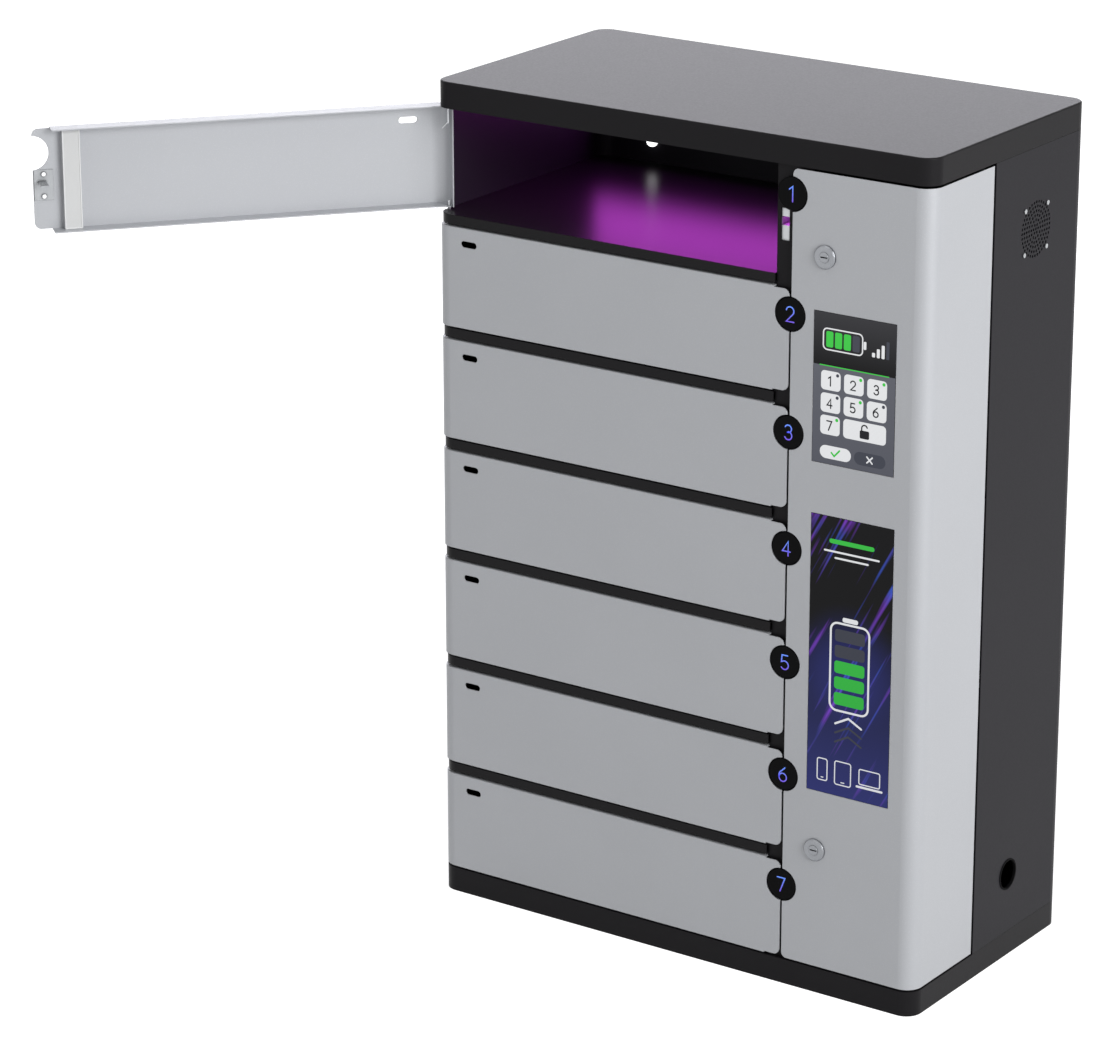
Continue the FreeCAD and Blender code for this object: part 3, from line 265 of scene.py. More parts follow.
def rounded(x, z, width, height, radius, steps=6):
    """Outline of a rounded rectangle about (x, z)."""
    outline = []
    for quarter, (side, rise) in enumerate(((1, 1), (-1, 1), (-1, -1), (1, -1))):
        for step in range(steps + 1):
            turn = (quarter + step / steps) * math.pi / 2
            outline.append((x + side * (width / 2 - radius) + radius * math.cos(turn),
                            z + rise * (height / 2 - radius) + radius * math.sin(turn)))
    return outline


def arc(x, z, radius, first, last, steps=12):
    """Points along an arc, from one angle in degrees to another."""
    turns = [math.radians(first + (last - first) * step / steps) for step in range(steps + 1)]
    return [(x + radius * math.cos(turn), z + radius * math.sin(turn)) for turn in turns]


def plate(bm, outline, face, thick=0.15):
    """A closed flat plate whose front is at y = face."""
    front = [bm.verts.new((x * MM, face * MM, z * MM)) for x, z in outline]
    back = [bm.verts.new((x * MM, (face + thick) * MM, z * MM)) for x, z in outline]
    bm.faces.new(front)
    bm.faces.new(back[::-1])
    for index in range(len(outline)):
        bm.faces.new((front[index - 1], front[index], back[index], back[index - 1]))


def stroke(bm, points, width, face, thick=0.15, closed=False):
    """A closed flat line of even width along the points, with round ends."""
    path = [Vector(point) for point in points]
    sections = []
    count = len(path)
    for index, point in enumerate(path):
        before = (point - path[index - 1]) if closed or index else None
        after = (path[(index + 1) % count] - point) if closed or index < count - 1 else None
        ways = [way.normalized() for way in (before, after) if way is not None]
        along = sum(ways, Vector((0, 0))).normalized()
        half = width / 2 / max(0.5, along.dot(ways[0]))
        sections.append((point, along, half))
    if not closed:
        for end, sign in ((0, -1), (-1, 1)):
            point, along, half = sections[end]
            caps = [(point + along * sign * half * math.sin(turn), along, half * math.cos(turn))
                    for turn in (0.5, 1.0, 1.4)]
            sections = caps[::-1] + sections if sign < 0 else sections + caps
    rings = []
    for point, along, half in sections:
        across = Vector((-along[1], along[0])) * half
        rings.append([bm.verts.new(((point[0] + side * across[0]) * MM, depth * MM, (point[1] + side * across[1]) * MM))
                      for side, depth in ((1, face), (-1, face), (-1, face + thick), (1, face + thick))])
    for index in range(0 if closed else 1, len(rings)):
        for corner in range(4):
            bm.faces.new((rings[index - 1][corner], rings[index - 1][corner - 1],
                          rings[index][corner - 1], rings[index][corner]))
    if not closed:
        bm.faces.new(rings[0])
        bm.faces.new(rings[-1][::-1])


def drawn_object(name, bm, material):
    """The shapes drawn so far, as one object."""
    bmesh.ops.recalc_face_normals(bm, faces=bm.faces)
    mesh = bpy.data.meshes.new(name)
    bm.to_mesh(mesh)
    bm.free()
    mesh.materials.append(material)
    item = bpy.data.objects.new(name, mesh)
    scene.collection.objects.link(item)
    return item


def piece(name, bm, material, body):
    """The shapes drawn so far, as one piece that moves with a body."""
    item = drawn_object(name, bm, material)
    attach(item, body)


# Numerals on the badges: monoline figures

BADGE_RADIUS = 19
NUMERAL_HEIGHT = 17
NUMERAL_LINE = 1.5
NUMERALS = {
    1: [[(-0.19, 0.3), (0.06, 0.5), (0.06, -0.5)]],
    2: [arc(0, 0.21, 0.29, 170, -40) + [(-0.28, -0.5), (0.3, -0.5)]],
    3: [arc(0, 0.25, 0.25, 155, -80) + [(-0.06, 0.0)], [(-0.06, 0.0)] + arc(0, -0.22, 0.28, 80, -155)],
    4: [[(0.14, -0.5), (0.14, 0.5), (-0.3, -0.2), (0.3, -0.2)]],
    5: [[(0.24, 0.5), (-0.2, 0.5), (-0.24, 0.02)] + arc(0, -0.2, 0.3, 125, -145)],
    6: [[(0.16, 0.5)] + arc(0.1, -0.1, 0.4, 120, 180) + arc(0, -0.21, 0.29, 180, 540, 20)],
    7: [[(-0.3, 0.5), (0.3, 0.5), (-0.08, -0.5)]],
}


def numeral(bm, figure, x, z, height, width, face):
    """One figure about (x, z)."""
    for line in NUMERALS[figure]:
        stroke(bm, [(x + a * height, z + b * height) for a, b in line], width, face)


badge_low, badge_high = corners("number_badges")


def numeral_light():
    """Engraved figures lit through the badge by coloured diodes. To the eye: blue at the head, violet at the foot."""
    material, tree, shader, place = finish("numeral_light", {"Roughness": 0.3, "Emission Strength": 0.5})
    height = add(tree, "ShaderNodeSeparateXYZ", {"Vector": place})
    first = (badge_low[2] + BADGE_RADIUS) / DOOR_STEP
    turns = add(tree, "ShaderNodeMath", {0: height.outputs[2], 1: 1 / (DOOR_STEP * MM)}, operation="MULTIPLY")
    from_first = add(tree, "ShaderNodeMath", {0: turns.outputs[0], 1: first - 0.5}, operation="SUBTRACT")
    share = add(tree, "ShaderNodeMath", {0: from_first.outputs[0]}, operation="FRACT")
    reach = NUMERAL_HEIGHT / 2 / DOOR_STEP
    blend = add(tree, "ShaderNodeMapRange", {
        "Value": share.outputs[0], "From Min": 0.5 - reach, "From Max": 0.5 + reach})
    grain = add(tree, "ShaderNodeTexNoise", {"Vector": place, "Scale": 1 / (1.5 * MM), "Detail": 1.0})
    colour = add(tree, "ShaderNodeMix", {
        0: blend.outputs[0], 6: linear("#6a4fd6"), 7: linear("#5b86ee")}, data_type="RGBA")
    sparkle = add(tree, "ShaderNodeMix", {
        0: 0.25, 6: colour.outputs[2], 7: grain.outputs[1]}, data_type="RGBA", blend_type="MULTIPLY")
    tree.links.new(sparkle.outputs[2], shader.inputs["Emission Color"])
    tree.links.new(colour.outputs[2], shader.inputs["Base Color"])
    return material


badge_x = (badge_low[0] + badge_high[0]) / 2
shapes = bmesh.new()
for door in range(1, DOOR_COUNT + 1):
    numeral(shapes, door, badge_x, badge_high[2] - BADGE_RADIUS - (door - 1) * DOOR_STEP, NUMERAL_HEIGHT, NUMERAL_LINE,
            badge_low[1] - 0.1)
piece("badge_numerals", shapes, numeral_light(), "cabinet")


# Screen pictures: plain generic layouts of number tiles, line icons and a charge gauge

def lit_picture(name, upper, lower, low, high):
    """Part of a liquid-crystal picture, lit from behind. To the eye: a colour that shifts from head to foot, the
    panel's fine grid of dots, and the soft gloss of the low-glare glass."""
    material, tree, shader, place = finish(name, {
        "Base Color": linear("#000000"), "Roughness": 0.2, "Specular IOR Level": 0.12, "Emission Strength": 0.9})
    spot = add(tree, "ShaderNodeSeparateXYZ", {"Vector": place})
    share = add(tree, "ShaderNodeMapRange", {
        "Value": spot.outputs[2], "From Min": low * MM, "From Max": high * MM})
    colour = add(tree, "ShaderNodeMix", {
        0: share.outputs[0], 6: linear(lower), 7: linear(upper)}, data_type="RGBA")
    # The dots are 0.2 mm apart: drawn at 1.4 mm so that they show. A wave's period is 0.314 over its scale
    dot_scale = 0.314 / (1.4 * MM)
    columns = add(tree, "ShaderNodeTexWave", {"Vector": place, "Scale": dot_scale}, bands_direction="X")
    rows = add(tree, "ShaderNodeTexWave", {"Vector": place, "Scale": dot_scale}, bands_direction="Z")
    dots = add(tree, "ShaderNodeMath", {0: columns.outputs[1], 1: rows.outputs[1]}, operation="MULTIPLY")
    grid = add(tree, "ShaderNodeMapRange", {"Value": dots.outputs[0], "To Min": 0.88, "To Max": 1.05})
    shown = add(tree, "ShaderNodeVectorMath", {
        0: colour.outputs[2], "Scale": grid.outputs[0]}, operation="SCALE")
    tree.links.new(shown.outputs[0], shader.inputs["Emission Color"])
    return material


def charge_picture(low, high, middle):
    """The tall display's ground. To the eye: black at the head and deep blue at the foot, crossed by soft leaning
    bands of violet and blue light, with a haze of light behind the gauge."""
    material = lit_picture("charge_picture", "#050508", "#2a3070", low, low + 0.6 * (high - low))
    tree = material.node_tree
    shader = next(node for node in tree.nodes if node.type == "BSDF_PRINCIPLED")
    ground = shader.inputs["Emission Color"].links[0].from_socket
    place = add(tree, "ShaderNodeTexCoord").outputs["Object"]
    lean = add(tree, "ShaderNodeMapping", {
        "Vector": place, "Rotation": (0.0, math.radians(-28), 0.0)})
    drawn = add(tree, "ShaderNodeMapping", {"Vector": lean.outputs[0], "Scale": (1.0, 1.0, 0.05)})
    bands = add(tree, "ShaderNodeTexNoise", {
        "Vector": drawn.outputs[0], "Scale": 1 / (11 * MM), "Detail": 2.0, "Roughness": 0.7})
    beam = add(tree, "ShaderNodeMapRange", {
        "Value": bands.outputs[0], "From Min": 0.56, "From Max": 0.78, "To Min": 0.0, "To Max": 1.0})
    tint = add(tree, "ShaderNodeTexNoise", {"Vector": lean.outputs[0], "Scale": 1 / (45 * MM), "Detail": 1.0})
    hue = add(tree, "ShaderNodeMapRange", {"Value": tint.outputs[0], "From Min": 0.4, "From Max": 0.6})
    light = add(tree, "ShaderNodeMix", {
        0: hue.outputs[0], 6: linear("#8a3fd8"), 7: linear("#3f62e0")}, data_type="RGBA")
    beams = add(tree, "ShaderNodeVectorMath", {0: light.outputs[2], "Scale": beam.outputs[0]}, operation="SCALE")
    away = add(tree, "ShaderNodeVectorMath", {
        0: place, 1: [v * MM for v in middle]}, operation="DISTANCE")
    haze = add(tree, "ShaderNodeMapRange", {
        "Value": away.outputs["Value"], "From Min": 20 * MM, "From Max": 80 * MM, "To Min": 0.12, "To Max": 0.0},
        interpolation_type="SMOOTHSTEP")
    cloud = add(tree, "ShaderNodeVectorMath", {
        0: linear("#4a55d8")[:3], "Scale": haze.outputs[0]}, operation="SCALE")
    lit = add(tree, "ShaderNodeVectorMath", {0: ground, 1: beams.outputs[0]}, operation="ADD")
    shown = add(tree, "ShaderNodeVectorMath", {0: lit.outputs[0], 1: cloud.outputs[0]}, operation="ADD")
    tree.links.new(shown.outputs[0], shader.inputs["Emission Color"])
    return material


SCREEN_RIM = 6
PICTURE_INSET = 0.6
# How far the ground, the header and the shapes stand off the glass, and one shape off another
GROUND_RISE, HEADER_RISE, SHAPE_RISE, LAYER = 0.15, 0.25, 0.4, 0.15
# The heights over which the colours that both screens share shift
SHARED_FOOT, SHARED_HEAD = 240, 815
HEADER = 60
TILE, TILE_WIDTH, TILE_PITCH, ROW_PITCH, FIRST_ROW = 22, 25, 29.5, 25.5, 17
TILE_CORNER = 4.5


def glass_area(node):
    """Middle, width, foot and head of a screen's glass, and the depth of its face."""
    low, high = corners(node)
    return ((low[0] + high[0]) / 2, high[0] - low[0] - 2 * SCREEN_RIM, low[2] + SCREEN_RIM, high[2] - SCREEN_RIM,
            low[1])


def picture_ground(centre, width, foot, head, glass):
    """The plate that fills a screen."""
    bm = bmesh.new()
    plate(bm, rounded(centre, (foot + head) / 2, width - PICTURE_INSET, head - foot - PICTURE_INSET, 0.8),
          glass - GROUND_RISE)
    return bm


centre, width, foot, head, glass = glass_area("touch_screen")
white_light = lit_picture("white_picture", "#f7f8fa", "#e9ebef", SHARED_FOOT, SHARED_HEAD)
ink_light = lit_picture("ink_picture", "#26272c", "#1c1d21", foot, head)
green_light = lit_picture("green_picture", "#46d84f", "#2cae3f", SHARED_FOOT, SHARED_HEAD)
dim_light = lit_picture("dim_picture", "#4a4d58", "#3a3d49", SHARED_FOOT, SHARED_HEAD)

piece("touch_field", picture_ground(centre, width, foot, head, glass),
      lit_picture("touch_picture", "#6c6e77", "#5a5c66", foot, head), "control_panel")

header_foot = head - HEADER - PICTURE_INSET / 2
shapes = bmesh.new()
plate(shapes, rounded(centre, header_foot + HEADER / 2, width - PICTURE_INSET, HEADER, 0.8), glass - HEADER_RISE)
piece("touch_header", shapes, lit_picture("header_picture", "#3a3a3e", "#0d0d0f", head - HEADER, head),
      "control_panel")

white, ink, green, dim = (bmesh.new() for _ in range(4))
face = glass - SHAPE_RISE
# A lying charge gauge and level bars in the header
gauge_x, gauge_z = centre - 15, head - HEADER / 2
stroke(white, rounded(gauge_x, gauge_z, 50, 24, 5), 1.5, face, closed=True)
plate(white, rounded(gauge_x + 28, gauge_z, 3.4, 9, 1.2), face)
for cell in range(4):
    plate(green if cell < 3 else dim, rounded(gauge_x - 16.8 + cell * 11.2, gauge_z, 9, 18, 2.0), face)
for bar in range(4):
    rise = 5 + bar * 5
    plate(white if bar < 3 else dim, rounded(centre + 24 + bar * 6, gauge_z - 11 + rise / 2, 3.8, rise, 1.0), face)
plate(green, rounded(centre, header_foot, width - 16, 1.2, 0.5), face)
# Seven number tiles in rows of three, with a dot that shows which are taken
TAKEN = (2, 3, 5, 7)
for number in range(1, DOOR_COUNT + 1):
    row, column = divmod(number - 1, 3)
    x = centre + (column - 1) * TILE_PITCH
    z = head - HEADER - FIRST_ROW - row * ROW_PITCH
    plate(white, rounded(x, z, TILE_WIDTH, TILE, TILE_CORNER), face)
    numeral(ink, number, x - 1, z - 0.6, 10.5, NUMERAL_LINE, face - LAYER)
    plate(green if number in TAKEN else dim, rounded(x + 8.6, z + 7.2, 3.8, 3.8, 1.8), face - LAYER)
# A wide tile with an open padlock beside the seventh
lock_x, lock_z = centre + TILE_PITCH / 2, head - HEADER - FIRST_ROW - 2 * ROW_PITCH
plate(white, rounded(lock_x, lock_z, TILE_WIDTH + TILE_PITCH, TILE, TILE_CORNER), face)
plate(ink, rounded(lock_x, lock_z - 3.2, 12, 9.4, 1.8), face - LAYER)
stroke(ink, [(lock_x - 3.6, lock_z + 1.5)] + arc(lock_x, lock_z + 4.2, 3.6, 180, 20, 10), 1.6, face - LAYER)
# Two pills at the foot: a tick and a cross
for side in (-1, 1):
    x, z = centre + side * 22, foot + 14
    plate(white if side < 0 else dim, rounded(x, z, 40, 15, 7.4), face)
    if side < 0:
        stroke(green, [(x - 5, z), (x - 1.4, z - 3.6), (x + 5.4, z + 3.8)], 2.0, face - LAYER)
    else:
        stroke(white, [(x - 3.4, z - 3.4), (x + 3.4, z + 3.4)], 1.7, face - LAYER)
        stroke(white, [(x - 3.4, z + 3.4), (x + 3.4, z - 3.4)], 1.7, face - 2 * LAYER)
piece("touch_tiles", white, white_light, "control_panel")
piece("touch_figures", ink, ink_light, "control_panel")
piece("touch_accents", green, green_light, "control_panel")
piece("touch_faint", dim, dim_light, "control_panel")

centre, width, foot, head, glass = glass_area("lower_display")
gauge_z = foot + 0.47 * (head - foot)
piece("display_field", picture_ground(centre, width, foot, head, glass),
      charge_picture(foot, head, (centre, glass, gauge_z)), "control_panel")

white, green, dim = (bmesh.new() for _ in range(3))
face = glass - SHAPE_RISE
# Heading strokes
plate(green, rounded(centre, head - 28, 58, 5.2, 2.5), face)
for row, length in enumerate((72, 44)):
    plate(white, rounded(centre, head - 40 - row * 7, length, 2.2, 1.0), face)
# A standing charge gauge of five cells
stroke(white, rounded(centre, gauge_z, 50, 104, 9), 2.4, face, closed=True)
plate(white, rounded(centre, gauge_z + 57, 20, 5.4, 2.2), face)
for cell in range(5):
    plate(green if cell < 3 else dim, rounded(centre, gauge_z - 37.6 + cell * 18.8, 39, 14.6, 3.4), face)
# Rising chevrons under it
for row in range(3):
    z = gauge_z - 84 + row * 11
    stroke(white if row == 2 else dim, [(centre - 17, z - 6), (centre, z + 3), (centre + 17, z - 6)], 2.4, face)
# Line icons of three devices at the foot: each an outline and a bar, as x, z, width, height and corner
z = foot + 28
for outline, bar in (((-33, 0, 13, 26, 2.6), (-33, -9.6, 3.6, 1.2, 0.5)),
                     ((-6, 0, 21, 28, 2.6), (-6, -10.8, 5, 1.2, 0.5)),
                     ((29, 2, 27, 18, 2.0), (29, -10.4, 35, 2.6, 1.2))):
    stroke(white, rounded(centre + outline[0], z + outline[1], *outline[2:]), 1.3, face, closed=True)
    plate(white, rounded(centre + bar[0], z + bar[1], *bar[2:]), face)
piece("display_lines", white, white_light, "control_panel")
piece("display_charge", green, green_light, "control_panel")
piece("display_faint", dim, dim_light, "control_panel")


# Pale strips on the stiffeners inside the doors, with lighter beads round them as painted highlights on the stiffeners'
# edges, and polished faces on the caps of the strikers' studs

JOINTS = {joint["name"]: joint for joint in frame["record"]["behaviour"]["joints"]}
# The strip's depth behind the door's front, its middle from the door's free edge, and what it leaves at its ends
STRIP_FACE, STRIP_OFFSET, STRIP_WIDTH, STRIP_CLEAR = 10.5, 43.2, 20.4, 3.4
BEAD_INSET, BEAD_WIDTH = 1.6, 1.4
# The studs' caps end CAP_LEVEL from the striker's seat, and their bright faces sink a little into them
STUD_PITCH, CAP_WIDTH, CAP_LEVEL, CAP_SINK = 25.8, 4.6, 2.9, 0.1
door_low, door_high = corners("door_2_shell")
strip_height = door_high[2] - door_low[2] - STRIP_CLEAR
strip_coat = powder_coat("pale_strip_coat", "#c8c9c9", "#cecfcf", "#dedfdf", 0.45, {
    "IOR": 1.5, "Specular IOR Level": 0.35})
# The bead's lighter coat is a painted highlight, for the light caught along the stiffener's edges
bead_highlight_coat = powder_coat("bead_painted_highlight_coat", "#e0e1e1", "#e6e7e7", "#f2f2f2", 0.4, {
    "IOR": 1.5, "Specular IOR Level": 0.35})
cap_polish = plated_steel("polished_nickel", "#e4e5e6", "#f0f0f1", 0.22, 0.7, 0.3)
striker_low, striker_high = corners("door_2_striker")
strip_x = door_high[0] - STRIP_OFFSET
stud_x = (striker_low[0] + striker_high[0]) / 2
for door in range(1, DOOR_COUNT + 1):
    body = "door_%d" % door
    # Drawn as on a shut door, so many steps up or down from the second
    shift = (2 - door) * DOOR_STEP
    strip_z = (door_low[2] + door_high[2]) / 2 + shift
    stud_z = (striker_low[2] + striker_high[2]) / 2 + shift
    strip, bead, caps = (bmesh.new() for _ in range(3))
    plate(strip, rounded(strip_x, strip_z, STRIP_WIDTH, strip_height, 0.6), door_low[1] + STRIP_FACE, 0.3)
    stroke(bead, rounded(strip_x, strip_z, STRIP_WIDTH - BEAD_INSET, strip_height - BEAD_INSET, 0.4), BEAD_WIDTH,
           door_low[1] + STRIP_FACE + 0.25, 0.5, closed=True)
    for side in (-1, 1):
        plate(caps, rounded(stud_x, stud_z + side * STUD_PITCH / 2, CAP_WIDTH, CAP_WIDTH, CAP_WIDTH / 2 - 0.02),
              striker_low[1] + CAP_LEVEL - CAP_SINK, 0.3)
    # A door that is stored open has its shut place at the low end of its hinge's range
    hinge = JOINTS[body + "_hinge"]
    turn = Matrix.Rotation(math.radians(-hinge["range_deg"][0]), 3, Vector(hinge["axis"]))
    for name, bm, coat, slot in (("_strip", strip, strip_coat, "silver_powder_coat"),
                                 ("_strip_highlight_bead", bead, bead_highlight_coat, "silver_powder_coat"),
                                 ("_stud_faces", caps, cap_polish, "lock_steel")):
        bmesh.ops.rotate(bm, cent=hinge["pos_m"], matrix=turn, verts=bm.verts)
        piece(body + name, bm, coat, body)


# Repeated small fittings, laid out by Geometry Nodes

def grid_tree():
    """Copies of a small solid along a line, and that line again along a second direction."""
    tree = bpy.data.node_groups.new("grid", "GeometryNodeTree")
    sockets = {}
    for name, kind in (("Geometry", "Geometry"), ("Start", "Vector"), ("Count", "Int"), ("Step", "Vector"),
                       ("Rows", "Int"), ("Rise", "Vector"), ("Material", "Material")):
        sockets[name] = tree.interface.new_socket(name, in_out="INPUT", socket_type="NodeSocket" + kind).identifier
    tree.interface.new_socket("Geometry", in_out="OUTPUT", socket_type="NodeSocketGeometry")
    given = add(tree, "NodeGroupInput").outputs
    row = add(tree, "GeometryNodeMeshLine", {
        "Count": given["Count"], "Start Location": given["Start"], "Offset": given["Step"]})
    along = add(tree, "GeometryNodeInstanceOnPoints", {"Points": row.outputs[0], "Instance": given["Geometry"]})
    first = add(tree, "GeometryNodeRealizeInstances", {"Geometry": along.outputs[0]})
    rows = add(tree, "GeometryNodeMeshLine", {"Count": given["Rows"], "Offset": given["Rise"]})
    up = add(tree, "GeometryNodeInstanceOnPoints", {"Points": rows.outputs[0], "Instance": first.outputs[0]})
    whole = add(tree, "GeometryNodeRealizeInstances", {"Geometry": up.outputs[0]})
    dressed = add(tree, "GeometryNodeSetMaterial", {"Geometry": whole.outputs[0], "Material": given["Material"]})
    add(tree, "NodeGroupOutput", {"Geometry": dressed.outputs[0]})
    return tree, sockets


GRID, GRID_SOCKETS = grid_tree()


def spread(name, bm, material, start, count, step, rows=1, rise=(0, 0, 0)):
    """One piece of the cabinet made of rows of the same solid; start, step and rise in mm."""
    item = drawn_object(name, bm, material)
    layout = item.modifiers.new("grid", "NODES")
    layout.node_group = GRID
    for key, setting in (("Start", [v * MM for v in start]), ("Count", count), ("Step", [v * MM for v in step]),
                         ("Rows", rows), ("Rise", [v * MM for v in rise]), ("Material", material)):
        layout[GRID_SOCKETS[key]] = setting
    laid_out = item.evaluated_get(bpy.context.evaluated_depsgraph_get())
    mesh = bpy.data.meshes.new_from_object(laid_out)
    item.modifiers.clear()
    item.data = mesh
    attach(item, "cabinet")


# Metal shells and tongues in the charging jacks, two to a compartment
JACK_PITCH, JACK_RISE = 22, 13
port_low, port_high = corners("charging_ports")
first_jack = ((port_low[0] + port_high[0] - JACK_PITCH) / 2, port_low[1], port_low[2] + JACK_RISE)
shell = bmesh.new()
stroke(shell, rounded(0, 0, 8.2, 2.7, 1.2), 0.45, 0.2, 4.4, closed=True)
plate(shell, rounded(0, 0, 5.6, 0.8, 0.3), 0.9, 3.6)
spread("jack_shells", shell, FINISHES["lock_steel"], first_jack, 2, (JACK_PITCH, 0, 0),
       DOOR_COUNT, (0, 0, DOOR_STEP))

# Dark discs on the face of the power supply as painted shade for its perforations, and its screw terminals
SUPPLY_MARGIN = 13
VENT_RISE, VENT_PITCH, VENT_COLUMNS, VENT_ROWS = 52, 6, 15, 24
TERMINAL_RISE, TERMINAL_PITCH, TERMINAL_COUNT = 14, 10.5, 9
supply = corners("power_supply")[0]
first_vent = (supply[0] + SUPPLY_MARGIN, supply[1], supply[2] + VENT_RISE)
first_terminal = (supply[0] + SUPPLY_MARGIN, supply[1], supply[2] + TERMINAL_RISE)
vent = bmesh.new()
plate(vent, arc(0, 0, 1.9, 0, 300, 5), -0.1, 0.1)
# The vents are flat near-black discs, painted shade where the holes' insides would be dark
vent_shade = moulded("supply_vent_painted_shade", "#040404", "#09090a", 0.7, 0.9, 0.1, 0.1)
spread("supply_vent_shades", vent, vent_shade, first_vent, VENT_COLUMNS, (VENT_PITCH, 0, 0),
       VENT_ROWS, (0, 0, VENT_PITCH))
cell = bmesh.new()
plate(cell, rounded(0, 0, 9.4, 15, 0.8), -0.4, 0.4)
spread("terminal_cells", cell, FINISHES["port_plastic"], first_terminal, TERMINAL_COUNT,
       (TERMINAL_PITCH, 0, 0))
screw = bmesh.new()
for half in (0, 180):
    plate(screw, arc(0, 0, 3, half + 12, half + 168, 10), -0.9, 0.5)
spread("terminal_screws", screw, FINISHES["lock_steel"], first_terminal, TERMINAL_COUNT,
       (TERMINAL_PITCH, 0, 0))


# Light, floor and camera

def lamp(name, place, aim, size, power, colour="#ffffff"):
    """A soft box at place that faces aim; metres and watts."""
    light = bpy.data.lights.new(name, "AREA")
    light.shape = "RECTANGLE"
    light.size, light.size_y = size
    light.energy = power
    light.color = linear(colour)[:3]
    item = bpy.data.objects.new(name, light)
    item.location = place
    item.rotation_euler = (Vector(aim) - Vector(place)).to_track_quat("-Z", "Y").to_euler()
    item.visible_camera = False
    scene.collection.objects.link(item)
    return item


MIDDLE = (0.0, 0.0, 0.5)
VIOLET = "#c648d6"
lamp("key_light", (5.28, -1.65, 2.6), MIDDLE, (3.2, 3.2), 306)
lamp("front_fill", (-1.6, -5.2, 1.8), MIDDLE, (3.0, 3.0), 36)
lamp("rear_light", (-2.2, 3.2, 1.9), (0.0, 0.0, 0.8), (3.0, 2.0), 55, "#f6f5ff")
lamp("top_light", (0.0, 0.0, 3.2), (0.0, 0.0, 0.0), (2.5, 2.5), 26)
# The open compartment: a violet strip high on its back wall, and its faint light on the walls and the shelf.
# The strip ends short of the partition and the rounded rear corner, so that no light shows outside
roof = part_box("ceiling_panel")[0][2]
lamp("compartment_light", (-0.099, 0.15, 0.934), (-0.099, -1.0, 0.934), (0.454, 0.056), 0.7, VIOLET)
glow = lamp("compartment_glow", (-0.2, -0.1, roof - 0.004), (-0.3, -0.11, 0.86), (0.05, 0.05), 0.1, "#c85cb8")
inside = bpy.data.collections.new("compartment_inside")
for name in ("left_side_panel", "shelf_1", "back_panel"):
    inside.objects.link(nodes[name])
glow.light_linking.receiver_collection = inside
bolt_low, bolt_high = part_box("door_1_latch")
bolt = [(low + high) / 2 for low, high in zip(bolt_low, bolt_high)]
lamp("slot_glow", (bolt[0], bolt[1], bolt_high[2] + 6 * MM), bolt, (0.008, 0.016), 0.004, VIOLET)

# The surroundings look white, straight and in gloss or glass, and light the locker less than that
STUDIO_LIGHT = 0.235
world = bpy.data.worlds.new("white_studio")
scene.world = world
world.use_nodes = True
studio = world.node_tree
studio.nodes.clear()
rays = add(studio, "ShaderNodeLightPath")
mirrored = add(studio, "ShaderNodeMath", {
    0: rays.outputs["Is Glossy Ray"], 1: rays.outputs["Is Transmission Ray"]}, operation="MAXIMUM")
seen = add(studio, "ShaderNodeMath", {0: rays.outputs["Is Camera Ray"], 1: mirrored.outputs[0]}, operation="MAXIMUM")
level = add(studio, "ShaderNodeMapRange", {"Value": seen.outputs[0], "To Min": STUDIO_LIGHT, "To Max": 1.0})
sky = add(studio, "ShaderNodeBackground", {"Color": linear("#ffffff"), "Strength": level.outputs[0]})
add(studio, "ShaderNodeOutputWorld", {"Surface": sky.outputs[0]})


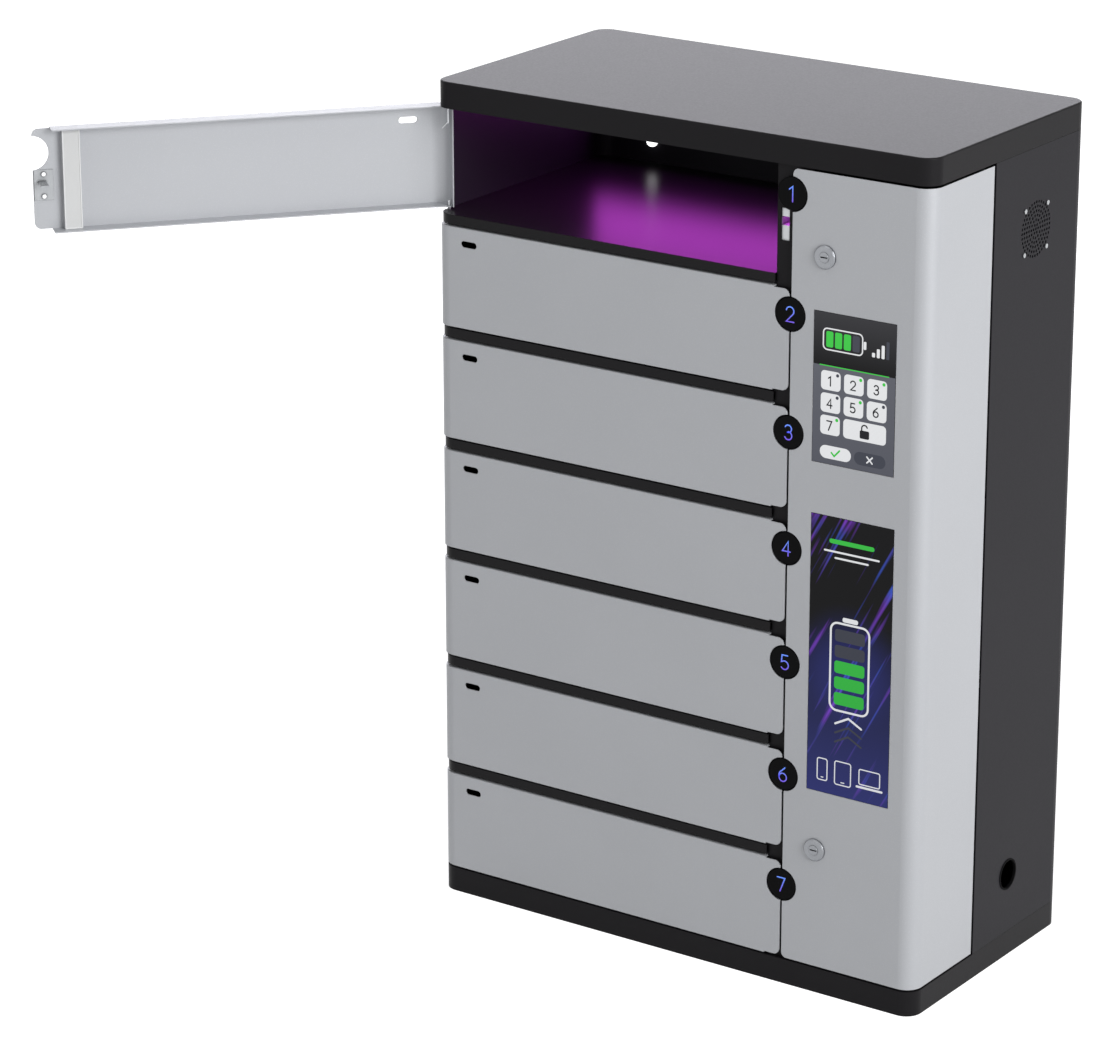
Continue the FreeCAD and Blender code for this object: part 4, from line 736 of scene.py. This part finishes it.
def studio_floor():
    """Matt white paper sweep. To the eye: white, with a faint tooth and the locker's soft shadow."""
    material, tree, shader, place = finish("studio_floor", {
        "Roughness": 0.9, "Specular IOR Level": 0.0, "Emission Color": linear("#ffffff")})
    tooth = add(tree, "ShaderNodeTexNoise", {"Vector": place, "Scale": 1 / (30 * MM), "Detail": 2.0})
    colour = add(tree, "ShaderNodeMix", {
        0: tooth.outputs[0], 6: linear("#c4c4c5"), 7: linear("#cacaca")}, data_type="RGBA")
    ray = add(tree, "ShaderNodeLightPath")
    seen_floor = add(tree, "ShaderNodeMath", {
        0: ray.outputs["Is Camera Ray"], 1: ray.outputs["Is Glossy Ray"]}, operation="MAXIMUM")
    tree.links.new(colour.outputs[2], shader.inputs["Base Color"])
    # The paper brightens to plain white away from the locker
    reach = add(tree, "ShaderNodeVectorMath", {0: place}, operation="LENGTH")
    paper = add(tree, "ShaderNodeMapRange", {
        "Value": reach.outputs["Value"], "From Min": 0.9, "From Max": 3.0, "To Min": 0.8, "To Max": 1.0})
    lift = add(tree, "ShaderNodeMath", {0: seen_floor.outputs[0], 1: paper.outputs[0]}, operation="MULTIPLY")
    tree.links.new(lift.outputs[0], shader.inputs["Emission Strength"])
    return material


ground = bmesh.new()
bmesh.ops.create_circle(ground, cap_ends=True, radius=9.0, segments=64)
floor_mesh = bpy.data.meshes.new("floor")
ground.to_mesh(floor_mesh)
ground.free()
floor_mesh.materials.append(studio_floor())
floor = bpy.data.objects.new("floor", floor_mesh)
scene.collection.objects.link(floor)

# The photograph's view, in a frame of 1114 by 1048: its angles, the point it looks at, its distance and its focal
# length in pixels, fitted to the locker's straight edges
VIEW_ANGLES = (35.1182, 18.774, -0.1103)
VIEW_POINT, VIEW_DISTANCE = (-0.2785, 0.0, 0.4273), 5.3106
FRAME_WIDTH, FOCAL_PIXELS, SENSOR_WIDTH = 1114, 4401.359, 36
turn, rise, lean = (math.radians(angle) for angle in VIEW_ANGLES)
back = Vector((math.sin(turn) * math.cos(rise), -math.cos(turn) * math.cos(rise), math.sin(rise)))
level_right = Vector((0, 0, 1)).cross(back).normalized()
level_up = back.cross(level_right)
right = level_right * math.cos(lean) + level_up * math.sin(lean)
up = level_up * math.cos(lean) - level_right * math.sin(lean)
view = Matrix((right, up, back)).transposed().to_4x4()
view.translation = Vector(VIEW_POINT) + back * VIEW_DISTANCE
camera = bpy.data.objects.new("camera", bpy.data.cameras.new("camera"))
camera.data.sensor_width = SENSOR_WIDTH
camera.data.lens = SENSOR_WIDTH * FOCAL_PIXELS / FRAME_WIDTH
camera.data.clip_end = 100
camera.matrix_world = view
scene.collection.objects.link(camera)
scene.camera = camera
scene.view_settings.view_transform = "Standard"
